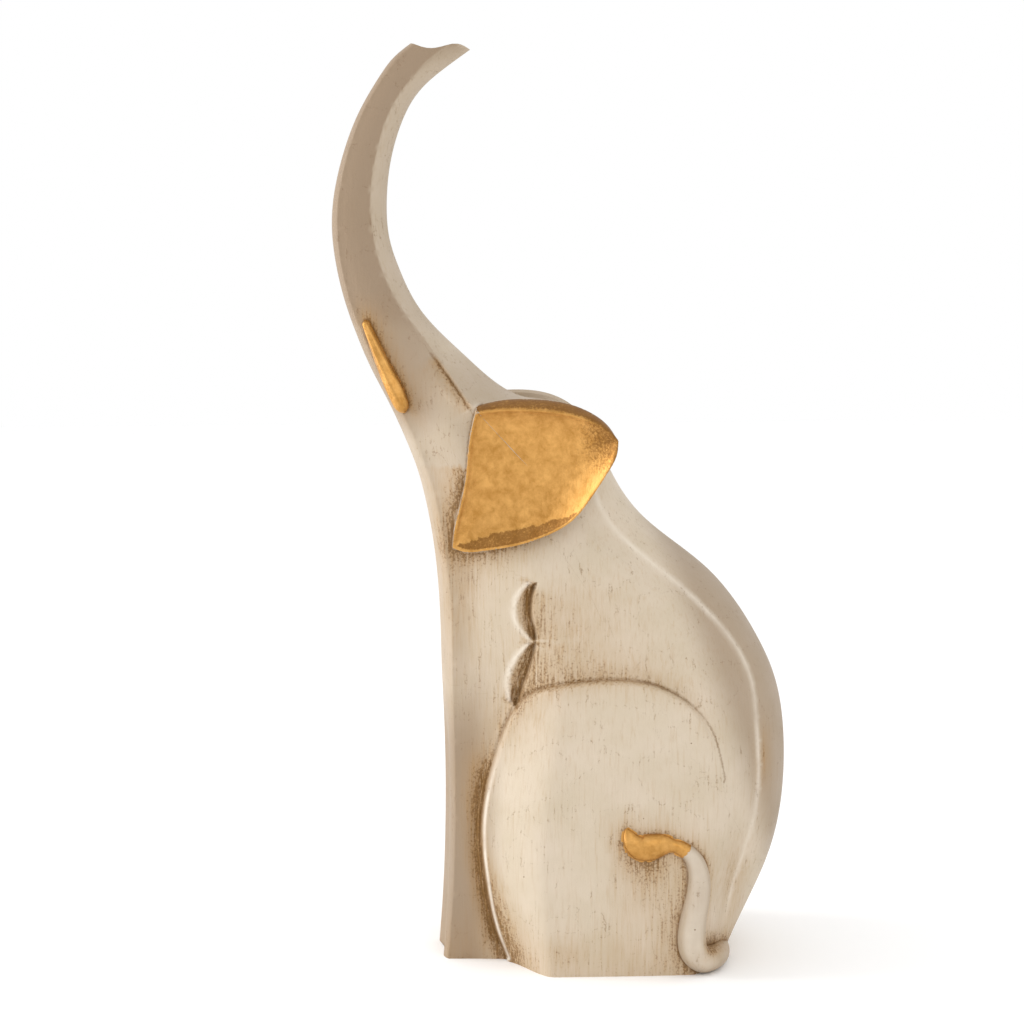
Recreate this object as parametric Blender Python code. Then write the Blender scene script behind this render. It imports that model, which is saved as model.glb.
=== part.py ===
"""Seated elephant figurine with a raised trunk, cast in one piece.

The figure faces -X, its left side faces -Y, and it rests on Z = 0. X = 0 and Y = 0 are the
middle of its bounding box. The body is one skin lofted through ribs that run from the front
outline to the back outline; ears, tusks and tail are joined to it.
"""

import bpy
import bmesh
import numpy as np
from mathutils import Vector

# Driving dimensions, metres
HEIGHT = 0.350            # sole to the tip of the trunk
BODY_WIDTH = 0.098        # across the haunches
EAR_SPREAD = 0.101        # across the tips of the ears
EAR_THICKNESS = 0.0065    # at the rim
EAR_HOLLOW = 0.0065       # depth of the dished face
EAR_BACK_BULGE = 0.010    # how far the ear's back swells behind its rim
EAR_BEVEL = 0.0045        # set-back of the top edge of the ear
HAUNCH_STEP = 0.0022      # how far the haunch stands out from belly and leg
LEG_GROOVE = 0.0016       # depth of the line between front leg and haunch
FOLD_DEPTH = 0.0030       # depth of the two leaf-shaped elbow folds
BROW_DEPTH = 0.0024       # depth of the crease between trunk and brow
TUSK_STAND = 0.0034       # how far a tusk stands out of the cheek
TAIL_DIAMETER = 0.0086    # where it lies on the ground
TUFT_WIDTH = 0.0100       # widest part of the tail's tuft
TUFT_THICKNESS = 0.0070
TAIL_LIFT = 0.0005        # the tail clears the ground by this much
NOSTRIL_DEPTH = 0.0040    # hollow in the end of the trunk
LEG_CLEFT = 0.0022        # shallow channel down the front, between the two front legs

# Mesh sizes, metres
COARSE_EDGE = 0.0100
FINE_EDGE = 0.0038
FEATURE_REACH = 0.0040    # how far from a carved line the mesh stays fine
REFINE_ROUNDS = 12

# All places below are in 350ths of the height, so they are millimetres on a 350 mm figure.
UNIT = HEIGHT / 350.0
SIDE = BODY_WIDTH / 98.0  # half-widths below are millimetres on a 98 mm wide body

# One rib a line, from the sole to the end of the trunk. A rib is a straight cut across the
# side view: its front end (x, z), its back end (x, z), then five points of the skin between
# them as (share of the way from front to back, half-width): the front edge, the back of the
# leg or cheek, the shoulder of the haunch, its rear, and the ridge along the back.
RIBS = (
    ((-48.2, 0.0), (62.0, 0.0), (0.022, 16.0), (0.21, 19.0), (0.36, 44.5), (0.83, 47.4), (0.95, 32.0)),
    ((-46.6, 25.0), (78.7, 28.0), (0.022, 16.0), (0.125, 20.0), (0.29, 42.0), (0.72, 48.5), (0.87, 28.0)),
    ((-45.8, 55.0), (87.0, 58.0), (0.022, 16.3), (0.095, 20.0), (0.27, 41.0), (0.69, 48.5), (0.88, 29.0)),
    ((-46.1, 85.0), (86.3, 96.0), (0.022, 16.5), (0.130, 21.0), (0.31, 39.0), (0.70, 45.5), (0.885, 30.0)),
    ((-47.0, 115.0), (76.8, 122.0), (0.026, 16.5), (0.170, 22.5), (0.36, 34.0), (0.70, 39.5), (0.895, 30.0)),
    ((-47.8, 138.0), (57.5, 148.3), (0.035, 16.5), (0.150, 21.5), (0.40, 31.5), (0.68, 34.5), (0.84, 28.5)),
    ((-50.4, 163.0), (31.2, 169.8), (0.040, 16.0), (0.110, 17.5), (0.40, 25.5), (0.65, 28.5), (0.815, 25.0)),
    ((-53.8, 180.0), (17.5, 190.0), (0.050, 15.5), (0.180, 21.0), (0.42, 21.5), (0.66, 24.5), (0.87, 23.5)),
    ((-58.9, 196.0), (2.8, 212.8), (0.050, 15.0), (0.310, 25.5), (0.50, 25.0), (0.72, 25.5), (0.88, 24.5)),
    ((-65.7, 211.5), (-15.0, 216.2), (0.060, 14.0), (0.280, 20.5), (0.43, 24.5), (0.51, 26.5), (0.59, 27.5)),
    ((-73.6, 227.0), (-38.0, 232.3), (0.070, 12.0), (0.300, 16.0), (0.50, 18.0), (0.60, 18.6), (0.69, 18.5)),
    ((-79.9, 242.0), (-54.9, 249.8), (0.080, 10.5), (0.300, 13.2), (0.50, 14.4), (0.65, 14.4), (0.75, 13.8)),
    ((-84.9, 257.5), (-62.9, 265.4), (0.080, 9.0), (0.300, 11.0), (0.48, 11.8), (0.60, 11.8), (0.70, 11.4)),
    ((-88.4, 280.0), (-67.1, 280.0), (0.100, 8.0), (0.300, 9.4), (0.48, 10.0), (0.60, 10.0), (0.70, 9.6)),
    ((-86.9, 297.0), (-67.4, 294.0), (0.100, 7.6), (0.300, 8.9), (0.46, 9.4), (0.58, 9.4), (0.66, 9.1)),
    ((-82.4, 313.5), (-65.2, 309.5), (0.100, 7.2), (0.300, 8.4), (0.46, 8.9), (0.58, 8.9), (0.65, 8.6)),
    ((-76.0, 328.0), (-59.2, 326.0), (0.100, 6.8), (0.300, 7.9), (0.44, 8.3), (0.55, 8.3), (0.62, 8.1)),
    ((-69.5, 338.6), (-51.8, 335.6), (0.100, 6.6), (0.300, 7.6), (0.44, 7.9), (0.55, 7.9), (0.64, 7.5)),
    ((-64.2, 345.3), (-42.8, 342.8), (0.090, 6.4), (0.280, 7.4), (0.42, 7.6), (0.55, 7.4), (0.68, 6.4)),
    ((-58.4, 350.0), (-35.7, 347.9), (0.080, 6.2), (0.260, 7.2), (0.40, 7.2), (0.58, 6.4), (0.78, 4.8)),
)
NECK_RIB = 9              # from this rib up, the back of the rib belongs to the trunk
# How round the back is: 1 is an ellipse, 0 a flat chamfer
BODY_BACK_ROUND = 0.70
TRUNK_BACK_ROUND = 0.40
MOUTH_DIP = 1.5           # how far the end of the trunk sinks behind its front corner
FINGER_RISE = 1.4         # how far the finger at the back of the trunk's end arches up
FINGER_FROM = 0.55        # share of the trunk's end where the finger begins

# Carved lines in the side view, (x, z)
HAUNCH = ((-24.2, 1.5), (-27.5, 10.1), (-32.0, 31.0), (-33.6, 51.6), (-31.7, 68.0), (-26.9, 86.0),
          (-22.1, 98.1), (-15.5, 105.6), (-7.1, 109.0), (2.4, 110.8), (17.0, 111.7), (28.4, 110.4),
          (39.2, 105.6), (46.7, 98.6), (52.1, 87.7), (55.4, 74.0))
HAUNCH_RISE = 3.0         # width of the step up to the haunch
HAUNCH_FADE = 16.0        # how far inside its line the haunch sinks back to the skin
HAUNCH_END_FADE = 0.10    # share of the line over which its rear end runs out
LEG_SHARE = 0.42          # share of the line that runs up beside the front leg
GROOVE_WIDTH = 2.2
UPPER_FOLD = ((-13.2, 148.0), (-14.8, 144.4), (-15.5, 139.8), (-15.4, 135.0), (-14.2, 130.0), (-13.7, 124.6))
LOWER_FOLD = ((-13.7, 125.6), (-15.2, 118.0), (-17.0, 112.1), (-18.9, 106.3), (-21.2, 99.4))
UPPER_FOLD_WIDTH = 5.4
LOWER_FOLD_WIDTH = 5.6
BROW = ((-52.2, 233.6), (-48.7, 228.9), (-43.3, 220.9), (-38.2, 212.9))
BROW_WIDTH = 8.0
LIP_WIDTH = 1.6           # the steep side of a fold or of the brow crease
LINE_FADE = 0.12          # share of a fold over which each end runs out

# Ear outline in the side view: top edge, rear and lower edge, root edge
EAR_TOP = ((-35.8, 214.3), (-28.0, 216.4), (-17.7, 217.2), (-6.0, 216.4), (4.5, 213.0), (11.5, 207.6), (14.5, 202.6))
EAR_REAR = ((14.5, 202.6), (14.2, 198.0), (11.2, 191.0), (5.7, 181.6), (-1.5, 172.0), (-11.1, 165.9),
            (-22.0, 161.8), (-33.3, 159.5), (-40.5, 159.0), (-44.3, 160.3))
EAR_ROOT = ((-44.3, 160.3), (-43.7, 166.9), (-41.4, 177.5), (-39.5, 189.2), (-38.6, 200.5), (-35.8, 214.3))
EAR_CENTRE = (-16.0, 191.0)
EAR_ROOT_TOP = 30.5       # half-width where the top edge leaves the head
EAR_ROOT_LOW = 20.5       # half-width at the lower end of the root
EAR_TOP_STEPS, EAR_REAR_STEPS, EAR_ROOT_STEPS = 12, 17, 9

TUSK_AXIS = ((-76.6, 246.2), (-72.9, 237.0), (-68.8, 227.3), (-64.6, 218.0), (-62.0, 211.3))
TUSK_RADIUS = (1.4, 2.2, 2.9, 3.3, 2.6)
TUSK_DEPTH = (11.6, 12.5, 13.4, 14.4, 15.2)
TUSK_SIDES = 8

# Tail, from the back of the body round on the ground and up the left haunch: x, z, half-width
TAIL_AXIS = ((53.0, 4.9, 4.0), (57.0, 4.6, 12.0), (58.3, 4.6, 22.0), (57.0, 4.6, 32.0), (53.6, 4.6, 40.5),
             (49.0, 5.2, 45.8), (44.8, 8.6, 47.8), (43.4, 15.0, 48.0), (44.5, 24.4, 47.9),
             (46.0, 34.0, 47.8), (45.6, 40.0, 47.8), (43.2, 45.8, 47.8), (38.8, 49.2, 47.9),
             (33.0, 50.5, 48.0), (27.8, 49.6, 48.0), (23.6, 49.5, 47.6), (20.6, 52.2, 47.0), (18.8, 56.4, 46.4))
# The tail's thickness along its length, as (share of the length, share of its diameter)
TAIL_TAPER = ((0.0, 1.0), (0.30, 1.0), (0.46, 1.26), (0.58, 1.14), (0.68, 1.0), (0.77, 0.72), (1.0, 0.60))
TUFT_START = 0.80         # share of the tail's length where the tuft begins
TAIL_MIDDLE = 20.0        # the tail curls round an upright line at this x
TAIL_SIDES = 10
TAIL_STEPS = 44


def spline_table(knots, values):
    """Second derivatives of the smoothest curve through the values, one column each."""
    gap = np.diff(knots)
    slope = np.diff(values, axis=0) / gap[:, None]
    count = len(knots)
    matrix = np.zeros((count, count))
    right = np.zeros_like(values)
    matrix[0, 0] = matrix[-1, -1] = 1.0
    for i in range(1, count - 1):
        matrix[i, i - 1:i + 2] = gap[i - 1], 2.0 * (gap[i - 1] + gap[i]), gap[i]
        right[i] = 6.0 * (slope[i] - slope[i - 1])
    return np.linalg.solve(matrix, right)


def spline(knots, values, at):
    """Natural cubic spline through values at knots, evaluated at the places in at."""
    bend = spline_table(knots, values)
    i = np.clip(np.searchsorted(knots, at, side="right") - 1, 0, len(knots) - 2)
    gap = (knots[i + 1] - knots[i])[:, None]
    b = ((at - knots[i])[:, None]) / gap
    a = 1.0 - b
    return (a * values[i] + b * values[i + 1]
            + ((a ** 3 - a) * bend[i] + (b ** 3 - b) * bend[i + 1]) * gap ** 2 / 6.0)


def through(points, count):
    """A smooth curve through the points, as evenly spaced points along it."""
    points = np.asarray(points, float)
    run = np.concatenate([[0.0], np.cumsum(np.linalg.norm(np.diff(points, axis=0), axis=1))])
    return spline(run, points, np.linspace(0.0, run[-1], count))


def smooth(value):
    """0 below 0, 1 above 1, and an even S between."""
    value = np.clip(value, 0.0, 1.0)
    return value * value * (3.0 - 2.0 * value)


def nearest_on(line, x, z):
    """For each place: its distance to a line, which side it is on (+ is left of the way the
    line runs) and how far along the line the nearest point lies, from 0 to 1."""
    start, step = line[:-1], np.diff(line, axis=0)
    place = np.stack([x, z], 1)[:, None, :] - start[None]
    along = np.clip((place * step).sum(2) / (step ** 2).sum(1), 0.0, 1.0)
    away = place - along[..., None] * step
    distance = np.hypot(away[..., 0], away[..., 1])
    best = distance.argmin(1)
    row = np.arange(len(x))
    cross = step[best, 0] * place[row, best, 1] - step[best, 1] * place[row, best, 0]
    return distance[row, best], np.sign(cross), (best + along[row, best]) / len(step)


class Skin:
    """Half of the body. A place on it is (across, along): across runs 0 to 6 from the front
    outline over the five rib points to the back outline, along runs 0 to 1 from sole to
    trunk end, -1 to 0 over the flat sole and 1 to 2 over the hollow end of the trunk."""

    def __init__(self):
        front = np.array([rib[0] for rib in RIBS])
        back = np.array([rib[1] for rib in RIBS])
        marks = np.array([rib[2:] for rib in RIBS])
        middle = (front + back) / 2.0
        run = np.concatenate([[0.0], np.cumsum(np.linalg.norm(np.diff(middle, axis=0), axis=1))])
        self.knots = run / run[-1]
        self.table = np.hstack([front, back, marks[:, :, 0], marks[:, :, 1]])
        self.neck = self.knots[NECK_RIB]
        self.haunch = through(HAUNCH, 60)
        self.folds = ((through(UPPER_FOLD, 16), UPPER_FOLD_WIDTH), (through(LOWER_FOLD, 16), LOWER_FOLD_WIDTH))
        self.brow = through(BROW, 12)

    def section(self, across, share, half):
        """One rib's place: an elliptic nose, a smooth line over the five points, and a back
        that is a flat chamfer on the trunk and round on the body."""
        across = np.clip(across, 0.0, 6.0)
        c = np.empty_like(across)
        y = np.empty_like(across)
        nose = across < 1.0
        turn = across * np.pi / 2.0
        c[nose] = (share[:, 0] * (1.0 - np.cos(turn)))[nose]
        y[nose] = (half[:, 0] * np.sin(turn))[nose]
        gap = np.diff(share, axis=1)
        slope = np.diff(half, axis=1) / gap
        tangent = np.empty_like(half)
        tangent[:, 0], tangent[:, -1] = slope[:, 0] * 0.6, slope[:, -1]
        same = slope[:, :-1] * slope[:, 1:] > 0.0
        total = slope[:, :-1] + slope[:, 1:]
        tangent[:, 1:-1] = np.where(same, 2.0 * slope[:, :-1] * slope[:, 1:] / np.where(same, total, 1.0), 0.0)
        for k in range(4):
            on = (across >= k + 1.0) & (across < k + 2.0)
            u = across[on] - (k + 1.0)
            g = gap[on, k]
            c[on] = share[on, k] + u * g
            y[on] = ((2 * u ** 3 - 3 * u ** 2 + 1) * half[on, k] + (3 * u ** 2 - 2 * u ** 3) * half[on, k + 1]
                     + (u ** 3 - 2 * u ** 2 + u) * g * tangent[on, k]
                     + (u ** 3 - u ** 2) * g * tangent[on, k + 1])
        return c, y

    def back_round(self, along):
        """How round the back is: as on the body up to the neck, then as on the trunk."""
        to_trunk = smooth((along - self.neck + 0.16) / 0.14)
        return BODY_BACK_ROUND + (TRUNK_BACK_ROUND - BODY_BACK_ROUND) * to_trunk

    def carving(self, x, z):
        """Depth of the carved lines at a place of the side view, outwards positive."""
        distance, side, along = nearest_on(self.haunch, x, z)
        inside = -side * distance
        fade = smooth((1.0 - along) / HAUNCH_END_FADE)
        raised = HAUNCH_STEP * smooth((inside + 0.4 * HAUNCH_RISE) / HAUNCH_RISE)
        raised *= np.exp(-np.maximum(inside - HAUNCH_RISE, 0.0) / HAUNCH_FADE)
        leg = smooth((LEG_SHARE - along) / 0.08) * smooth((z - 3.0) / 5.0)
        groove = LEG_GROOVE * np.exp(-((inside + 0.9 * GROOVE_WIDTH) / GROOVE_WIDTH) ** 2) * (0.25 + 0.75 * leg)
        depth = (raised - groove) * fade
        for line, width in self.folds:
            distance, side, along = nearest_on(line, x, z)
            leaf = width * np.sin(np.pi * np.clip(along, 0.02, 0.98)) ** 0.7
            scoop = np.clip(1.0 - distance / leaf, 0.0, 1.0) * (side < 0.0)
            lip = np.clip(1.0 - distance / LIP_WIDTH, 0.0, 1.0) * (side >= 0.0)
            ends = smooth(along / LINE_FADE) * smooth((1.0 - along) / LINE_FADE)
            depth -= FOLD_DEPTH * np.maximum(scoop, lip) * ends
        distance, side, along = nearest_on(self.brow, x, z)
        scoop = np.clip(1.0 - distance / BROW_WIDTH, 0.0, 1.0) ** 1.3 * (side < 0.0)
        lip = np.clip(1.0 - distance / LIP_WIDTH, 0.0, 1.0) * (side >= 0.0)
        depth -= BROW_DEPTH * np.maximum(scoop, lip) * np.sin(np.pi * along) ** 0.6
        return depth

    def lines(self):
        return [self.haunch, self.brow] + [line for line, _ in self.folds]

    def feature_distance(self, x, z):
        """Distance to the nearest carved line."""
        return np.min([nearest_on(line, x, z)[0] for line in self.lines()], axis=0)

    def __call__(self, across, along):
        along_rib = np.clip(along, 0.0, 1.0)
        row = spline(self.knots, self.table, along_rib)
        front, back, share, half = row[:, 0:2], row[:, 2:4], row[:, 4:9], row[:, 9:14]
        c, y = self.section(across, share, half)
        u = np.clip(across - 5.0, 0.0, 1.0)
        roundness = self.back_round(along_rib)
        turn = u * np.pi / 2.0
        rear = across >= 5.0
        c_rear = share[:, 4] + (1.0 - share[:, 4]) * (roundness * np.sin(turn) + (1.0 - roundness) * u)
        y_rear = half[:, 4] * (roundness * np.cos(turn) + (1.0 - roundness) * (1.0 - u))
        c = np.where(rear, c_rear, c)
        y = np.where(rear, y_rear, y)
        y = np.where(across >= 6.0, 0.0, y)
        x = front[:, 0] + c * (back[:, 0] - front[:, 0])
        z = front[:, 1] + c * (back[:, 1] - front[:, 1])
        end = smooth((along_rib - 0.93) / 0.07)
        z = z - MOUTH_DIP * end * np.sin(np.pi * np.clip(c / FINGER_FROM, 0.0, 1.0))
        z = z + FINGER_RISE * end * np.sin(np.pi * np.clip((c - FINGER_FROM) / (1.0 - FINGER_FROM), 0.0, 1.0))
        x, z, y = x * UNIT, z * UNIT, y * SIDE
        y = np.maximum(y, 0.0)
        y = y + self.carving(x / UNIT, z / UNIT) * smooth(y / 0.014)
        x = x + self.cleft(across, along_rib)
        sole = np.clip(-along, 0.0, 1.0)
        mouth = np.clip(along - 1.0, 0.0, 1.0)
        hollow = NOSTRIL_DEPTH * smooth(mouth / 0.5) * smooth(y / 0.005) * smooth((0.66 - c) / 0.3)
        y = y * (1.0 - sole) * (1.0 - mouth)
        x = x + sole * np.maximum(front[:, 0] * UNIT + LEG_CLEFT - x, 0.0)
        z = np.where(along <= 0.0, 0.0, z - hollow)
        return np.stack([x, -y, z], 1)

    def cleft(self, across, along):
        """The channel between the front legs pushes the front outline back near the middle."""
        low = smooth((0.30 - along) / 0.10)
        return LEG_CLEFT * low * (1.0 - smooth(np.clip(across, 0.0, 1.0) / 0.55))


def refined(skin):
    """Triangles over the (across, along) sheet, split until each edge is short enough."""
    columns = np.array([0.0, 0.35, 0.7, 1.0, 2.0, 3.0, 4.0, 5.0, 5.4, 6.0])
    rows = np.concatenate([[-1.0], skin.knots, [2.0]])
    across, along = np.meshgrid(columns, rows)
    place = np.stack([across.ravel(), along.ravel()], 1)
    width = len(columns)
    corner = (np.arange(len(rows) - 1)[:, None] * width + np.arange(width - 1)).ravel()
    faces = np.concatenate([np.stack([corner, corner + 1, corner + width + 1], 1),
                            np.stack([corner, corner + width + 1, corner + width], 1)])
    for _ in range(REFINE_ROUNDS):
        point = skin(place[:, 0], place[:, 1])
        ends = np.concatenate([faces[:, [0, 1]], faces[:, [1, 2]], faces[:, [2, 0]]])
        edges, which = np.unique(np.sort(ends, axis=1), axis=0, return_inverse=True)
        which = which.reshape(3, -1).T
        middle = place[edges].mean(1)
        mid_point = skin(middle[:, 0], middle[:, 1])
        length = (np.linalg.norm(mid_point - point[edges[:, 0]], axis=1)
                  + np.linalg.norm(mid_point - point[edges[:, 1]], axis=1))
        apart = skin.feature_distance(mid_point[:, 0] / UNIT, mid_point[:, 2] / UNIT) * UNIT
        visible = (middle[:, 1] > 0.0) & (middle[:, 1] < 1.0) & (-mid_point[:, 1] > 0.008)
        near = (apart < FEATURE_REACH) & visible
        limit = np.where(near, FINE_EDGE, COARSE_EDGE) * np.where(middle[:, 1] > skin.neck, 0.8, 1.0)
        split = length > limit * 1.25
        if not split.any():
            break
        longest = which[np.arange(len(faces)), length[which].argmax(1)]
        for _ in range(30):
            asked = split[which].any(1) & ~split[longest]
            if not asked.any():
                break
            split[longest[asked]] = True
        new = np.full(len(edges), -1)
        new[split] = len(place) + np.arange(split.sum())
        place = np.concatenate([place, middle[split]])
        faces = split_faces(faces, new[which], length[which])
    return drawn_to_lines(place, faces, skin), faces


def sheet_area(place, faces):
    """Signed area of each triangle on the (across, along) sheet."""
    a, b, c = place[faces[:, 0]], place[faces[:, 1]], place[faces[:, 2]]
    return ((b - a)[:, 0] * (c - a)[:, 1] - (b - a)[:, 1] * (c - a)[:, 0]) / 2.0


def drawn_to_lines(place, faces, skin):
    """Moves the places that lie close to a carved line onto it, so that edges follow the
    line. A move that would flatten a triangle is not made."""
    inner = (place[:, 1] > 0.0) & (place[:, 1] < 1.0) & (place[:, 0] % 1.0 > 0.0)
    for line in skin.lines():
        start = place.copy()
        across, along = place[inner].T
        here = skin(across, along)[:, [0, 2]]
        step = 1e-4
        by_across = (skin(across + step, along)[:, [0, 2]] - here) / step
        by_along = (skin(across, along + step)[:, [0, 2]] - here) / step
        distance, _, share = nearest_on(line, *(here.T / UNIT))
        last = len(line) - 1
        nearest = np.stack([np.interp(share * last, np.arange(last + 1), line[:, k]) for k in (0, 1)], 1)
        shift = nearest * UNIT - here
        area = by_across[:, 0] * by_along[:, 1] - by_across[:, 1] * by_along[:, 0]
        near = (distance * UNIT < FINE_EDGE * 0.45) & (share > 0.0) & (share < 1.0) & (np.abs(area) > 1e-9)
        area = np.where(near, area, 1.0)
        move = np.stack([(shift[:, 0] * by_along[:, 1] - shift[:, 1] * by_along[:, 0]) / area,
                         (shift[:, 1] * by_across[:, 0] - shift[:, 0] * by_across[:, 1]) / area], 1)
        place[inner] += np.where(near[:, None], move, 0.0)
        for _ in range(4):
            thin = sheet_area(place, faces) < 0.35 * sheet_area(start, faces)
            back = np.unique(faces[thin])
            place[back] = start[back]
    return place


def split_faces(faces, mid, length):
    """Each triangle cut by the middles of its split edges: into 4, 3, 2 or left whole. Where
    two edges are split, the cut between their neighbours starts from the longer one."""
    count = (mid >= 0).sum(1)
    out = [faces[count == 0]]
    a, m = faces[count == 3], mid[count == 3]
    out += [np.stack([a[:, 0], m[:, 0], m[:, 2]], 1), np.stack([a[:, 1], m[:, 1], m[:, 0]], 1),
            np.stack([a[:, 2], m[:, 2], m[:, 1]], 1), m]
    for turn in range(3):
        order = [(turn + k) % 3 for k in range(3)]
        f, m = faces[:, order], mid[:, order]
        one = (count == 1) & (m[:, 0] >= 0)
        out += [np.stack([f[one, 0], m[one, 0], f[one, 2]], 1), np.stack([m[one, 0], f[one, 1], f[one, 2]], 1)]
        first = length[:, order[0]] >= length[:, order[1]]
        two = (count == 2) & (m[:, 2] < 0)
        long, other = two & first, two & ~first
        out += [np.stack([m[two, 0], f[two, 1], m[two, 1]], 1),
                np.stack([m[long, 0], m[long, 1], f[long, 2]], 1), np.stack([f[long, 0], m[long, 0], f[long, 2]], 1),
                np.stack([f[other, 0], m[other, 0], m[other, 1]], 1),
                np.stack([f[other, 0], m[other, 1], f[other, 2]], 1)]
    return np.concatenate(out)


def material(name, colour, roughness, metallic=0.0):
    made = bpy.data.materials.new(name)
    made.use_nodes = True
    shader = made.node_tree.nodes["Principled BSDF"]
    shader.inputs["Base Color"].default_value = (*colour, 1.0)
    shader.inputs["Roughness"].default_value = roughness
    shader.inputs["Metallic"].default_value = metallic
    made.diffuse_color = (*colour, 1.0)
    return made


def solid(name, points, faces, finish):
    """A mesh object of the points and faces, doubles merged and faces turned outwards."""
    mesh = bpy.data.meshes.new(name)
    mesh.from_pydata([Vector(p) for p in points], [], [tuple(int(i) for i in f) for f in faces])
    work = bmesh.new()
    work.from_mesh(mesh)
    bmesh.ops.remove_doubles(work, verts=work.verts, dist=2e-6)
    bmesh.ops.dissolve_degenerate(work, edges=work.edges, dist=2e-6)
    bmesh.ops.recalc_face_normals(work, faces=work.faces)
    work.to_mesh(mesh)
    work.free()
    mesh.shade_smooth()
    mesh.set_sharp_from_angle(angle=np.radians(38.0))
    mesh.materials.append(finish)
    made = bpy.data.objects.new(name, mesh)
    bpy.context.scene.collection.objects.link(made)
    return made


def helper(made):
    """Marks an object as one that only shapes another."""
    made.hide_render = True
    made.display_type = "WIRE"
    return made


def mirrored(points, faces):
    """The shape and its mirror image across the middle plane, as one list."""
    other = points * np.array([1.0, -1.0, 1.0])
    turned = [tuple(i + len(points) for i in reversed(face)) for face in faces]
    return np.concatenate([points, other]), list(faces) + turned


def ear_shape():
    """A dished plate. Rings run from the outline to the centre on the face, and back out over
    the swollen rear. Above its top edge the face is cut back by a bevel."""
    edges = [through(EAR_TOP, EAR_TOP_STEPS)[:-1], through(EAR_REAR, EAR_REAR_STEPS)[:-1],
             through(EAR_ROOT, EAR_ROOT_STEPS)[:-1]]
    outline = np.concatenate(edges)
    centre = np.array(EAR_CENTRE)
    top = np.zeros(len(outline))
    top[:len(edges[0])] = np.sin(np.linspace(0.25, 1.0, len(edges[0])) * np.pi) ** 0.6
    root = np.zeros(len(outline))
    root[-len(edges[2]):] = 1.0
    corners = np.array([[*EAR_TOP[0], 1.0], [*EAR_ROOT[0], 1.0], [*EAR_TOP[-1], 1.0]])
    plane = np.linalg.solve(corners, [EAR_ROOT_TOP * SIDE, EAR_ROOT_LOW * SIDE, EAR_SPREAD / 2.0])

    def rim(place):
        return place @ plane[:2] + plane[2]

    points = []
    # Share of the way from centre to outline, and the depth of the dish there
    face_rings = ((0.94, 0.06), (0.84, 0.50), (0.62, 0.85), (0.34, 0.98))
    drop = (EAR_BEVEL / UNIT) * 0.75
    lip = outline - np.stack([np.zeros_like(top), drop * top], 1)
    points.append(np.column_stack([outline * UNIT, rim(outline) - EAR_BEVEL * top - 0.0006]))
    points.append(np.column_stack([(centre + (lip - centre) * 0.985) * UNIT, rim(lip)]))
    for share, depth in face_rings:
        ring = centre + (lip - centre) * share
        points.append(np.column_stack([ring * UNIT, rim(ring) - EAR_HOLLOW * depth]))
    face_centre = len(points)
    back_rings = ((0.35, 0.95), (0.72, 0.60), (1.0, 0.0))
    back = []
    for share, swell in back_rings:
        ring = centre + (outline - centre) * share
        behind = EAR_THICKNESS + EAR_BACK_BULGE * swell
        back.append(np.column_stack([ring * UNIT, rim(ring) - behind - EAR_BEVEL * 0.6 * top * (share == 1.0)]))
    count = len(outline)
    rings = points + back
    middle_front = [centre[0] * UNIT, centre[1] * UNIT, rim(centre[None])[0] - EAR_HOLLOW]
    middle_back = [centre[0] * UNIT, centre[1] * UNIT, rim(centre[None])[0] - EAR_THICKNESS - EAR_BACK_BULGE]
    flat = np.concatenate(rings + [np.array([middle_front]), np.array([middle_back])])
    flat = np.column_stack([flat[:, 0], -flat[:, 2], flat[:, 1]])
    faces = []
    step = np.arange(count)
    after = (step + 1) % count

    def band(first, second):
        faces.extend(zip(first * count + step, first * count + after, second * count + after, second * count + step))

    for k in range(face_centre - 1):
        band(k, k + 1)
    inner = face_centre - 1
    faces.extend((inner * count + i, inner * count + j, len(flat) - 2) for i, j in zip(step, after))
    for k in range(face_centre, len(rings) - 1):
        band(k, k + 1)
    faces.extend((face_centre * count + j, face_centre * count + i, len(flat) - 1) for i, j in zip(step, after))
    band(len(rings) - 1, 0)
    return flat, faces


def swept(axis, radius_side, radius_out, sides, inside):
    """A tube along axis (x, y, z). Its section is an ellipse, radius_out deep away from the
    upright line through inside (x, y), radius_side wide across that, with pointed ends."""
    along = np.gradient(axis, axis=0)
    along /= np.linalg.norm(along, axis=1)[:, None]
    out = axis - np.array([*inside, 0.0])
    out[:, 2] = 0.0
    out -= (out * along).sum(1)[:, None] * along
    out /= np.linalg.norm(out, axis=1)[:, None]
    wide = np.cross(along, out)
    turn = np.arange(sides) * 2.0 * np.pi / sides
    ring = (wide[:, None, :] * np.cos(turn)[None, :, None] * radius_side[:, None, None]
            + out[:, None, :] * np.sin(turn)[None, :, None] * radius_out[:, None, None])
    points = (axis[:, None, :] + ring).reshape(-1, 3)
    points = np.concatenate([points, [axis[0] - along[0] * radius_side[0] * 0.5],
                             [axis[-1] + along[-1] * radius_side[-1] * 0.5]])
    faces = []
    for k in range(len(axis) - 1):
        for i in range(sides):
            j = (i + 1) % sides
            faces.append((k * sides + i, k * sides + j, (k + 1) * sides + j, (k + 1) * sides + i))
    last = (len(axis) - 1) * sides
    for i in range(sides):
        j = (i + 1) % sides
        faces.append((j, i, len(points) - 2))
        faces.append((last + i, last + j, len(points) - 1))
    return points, faces


def tusk_shape():
    """A half-round horn along the cheek, narrow above and blunt below."""
    rows = np.column_stack([np.array(TUSK_AXIS) * UNIT, np.array(TUSK_DEPTH) * SIDE,
                            np.array(TUSK_RADIUS) * UNIT])
    rows = through(rows, 12)
    stand = TUSK_STAND * np.sqrt(rows[:, 3] / rows[:, 3].max())
    axis = np.column_stack([rows[:, 0], -rows[:, 2], rows[:, 1]])
    return swept(axis, rows[:, 3], stand, TUSK_SIDES, (TUSK_AXIS[2][0] * UNIT, 0.0))


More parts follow.
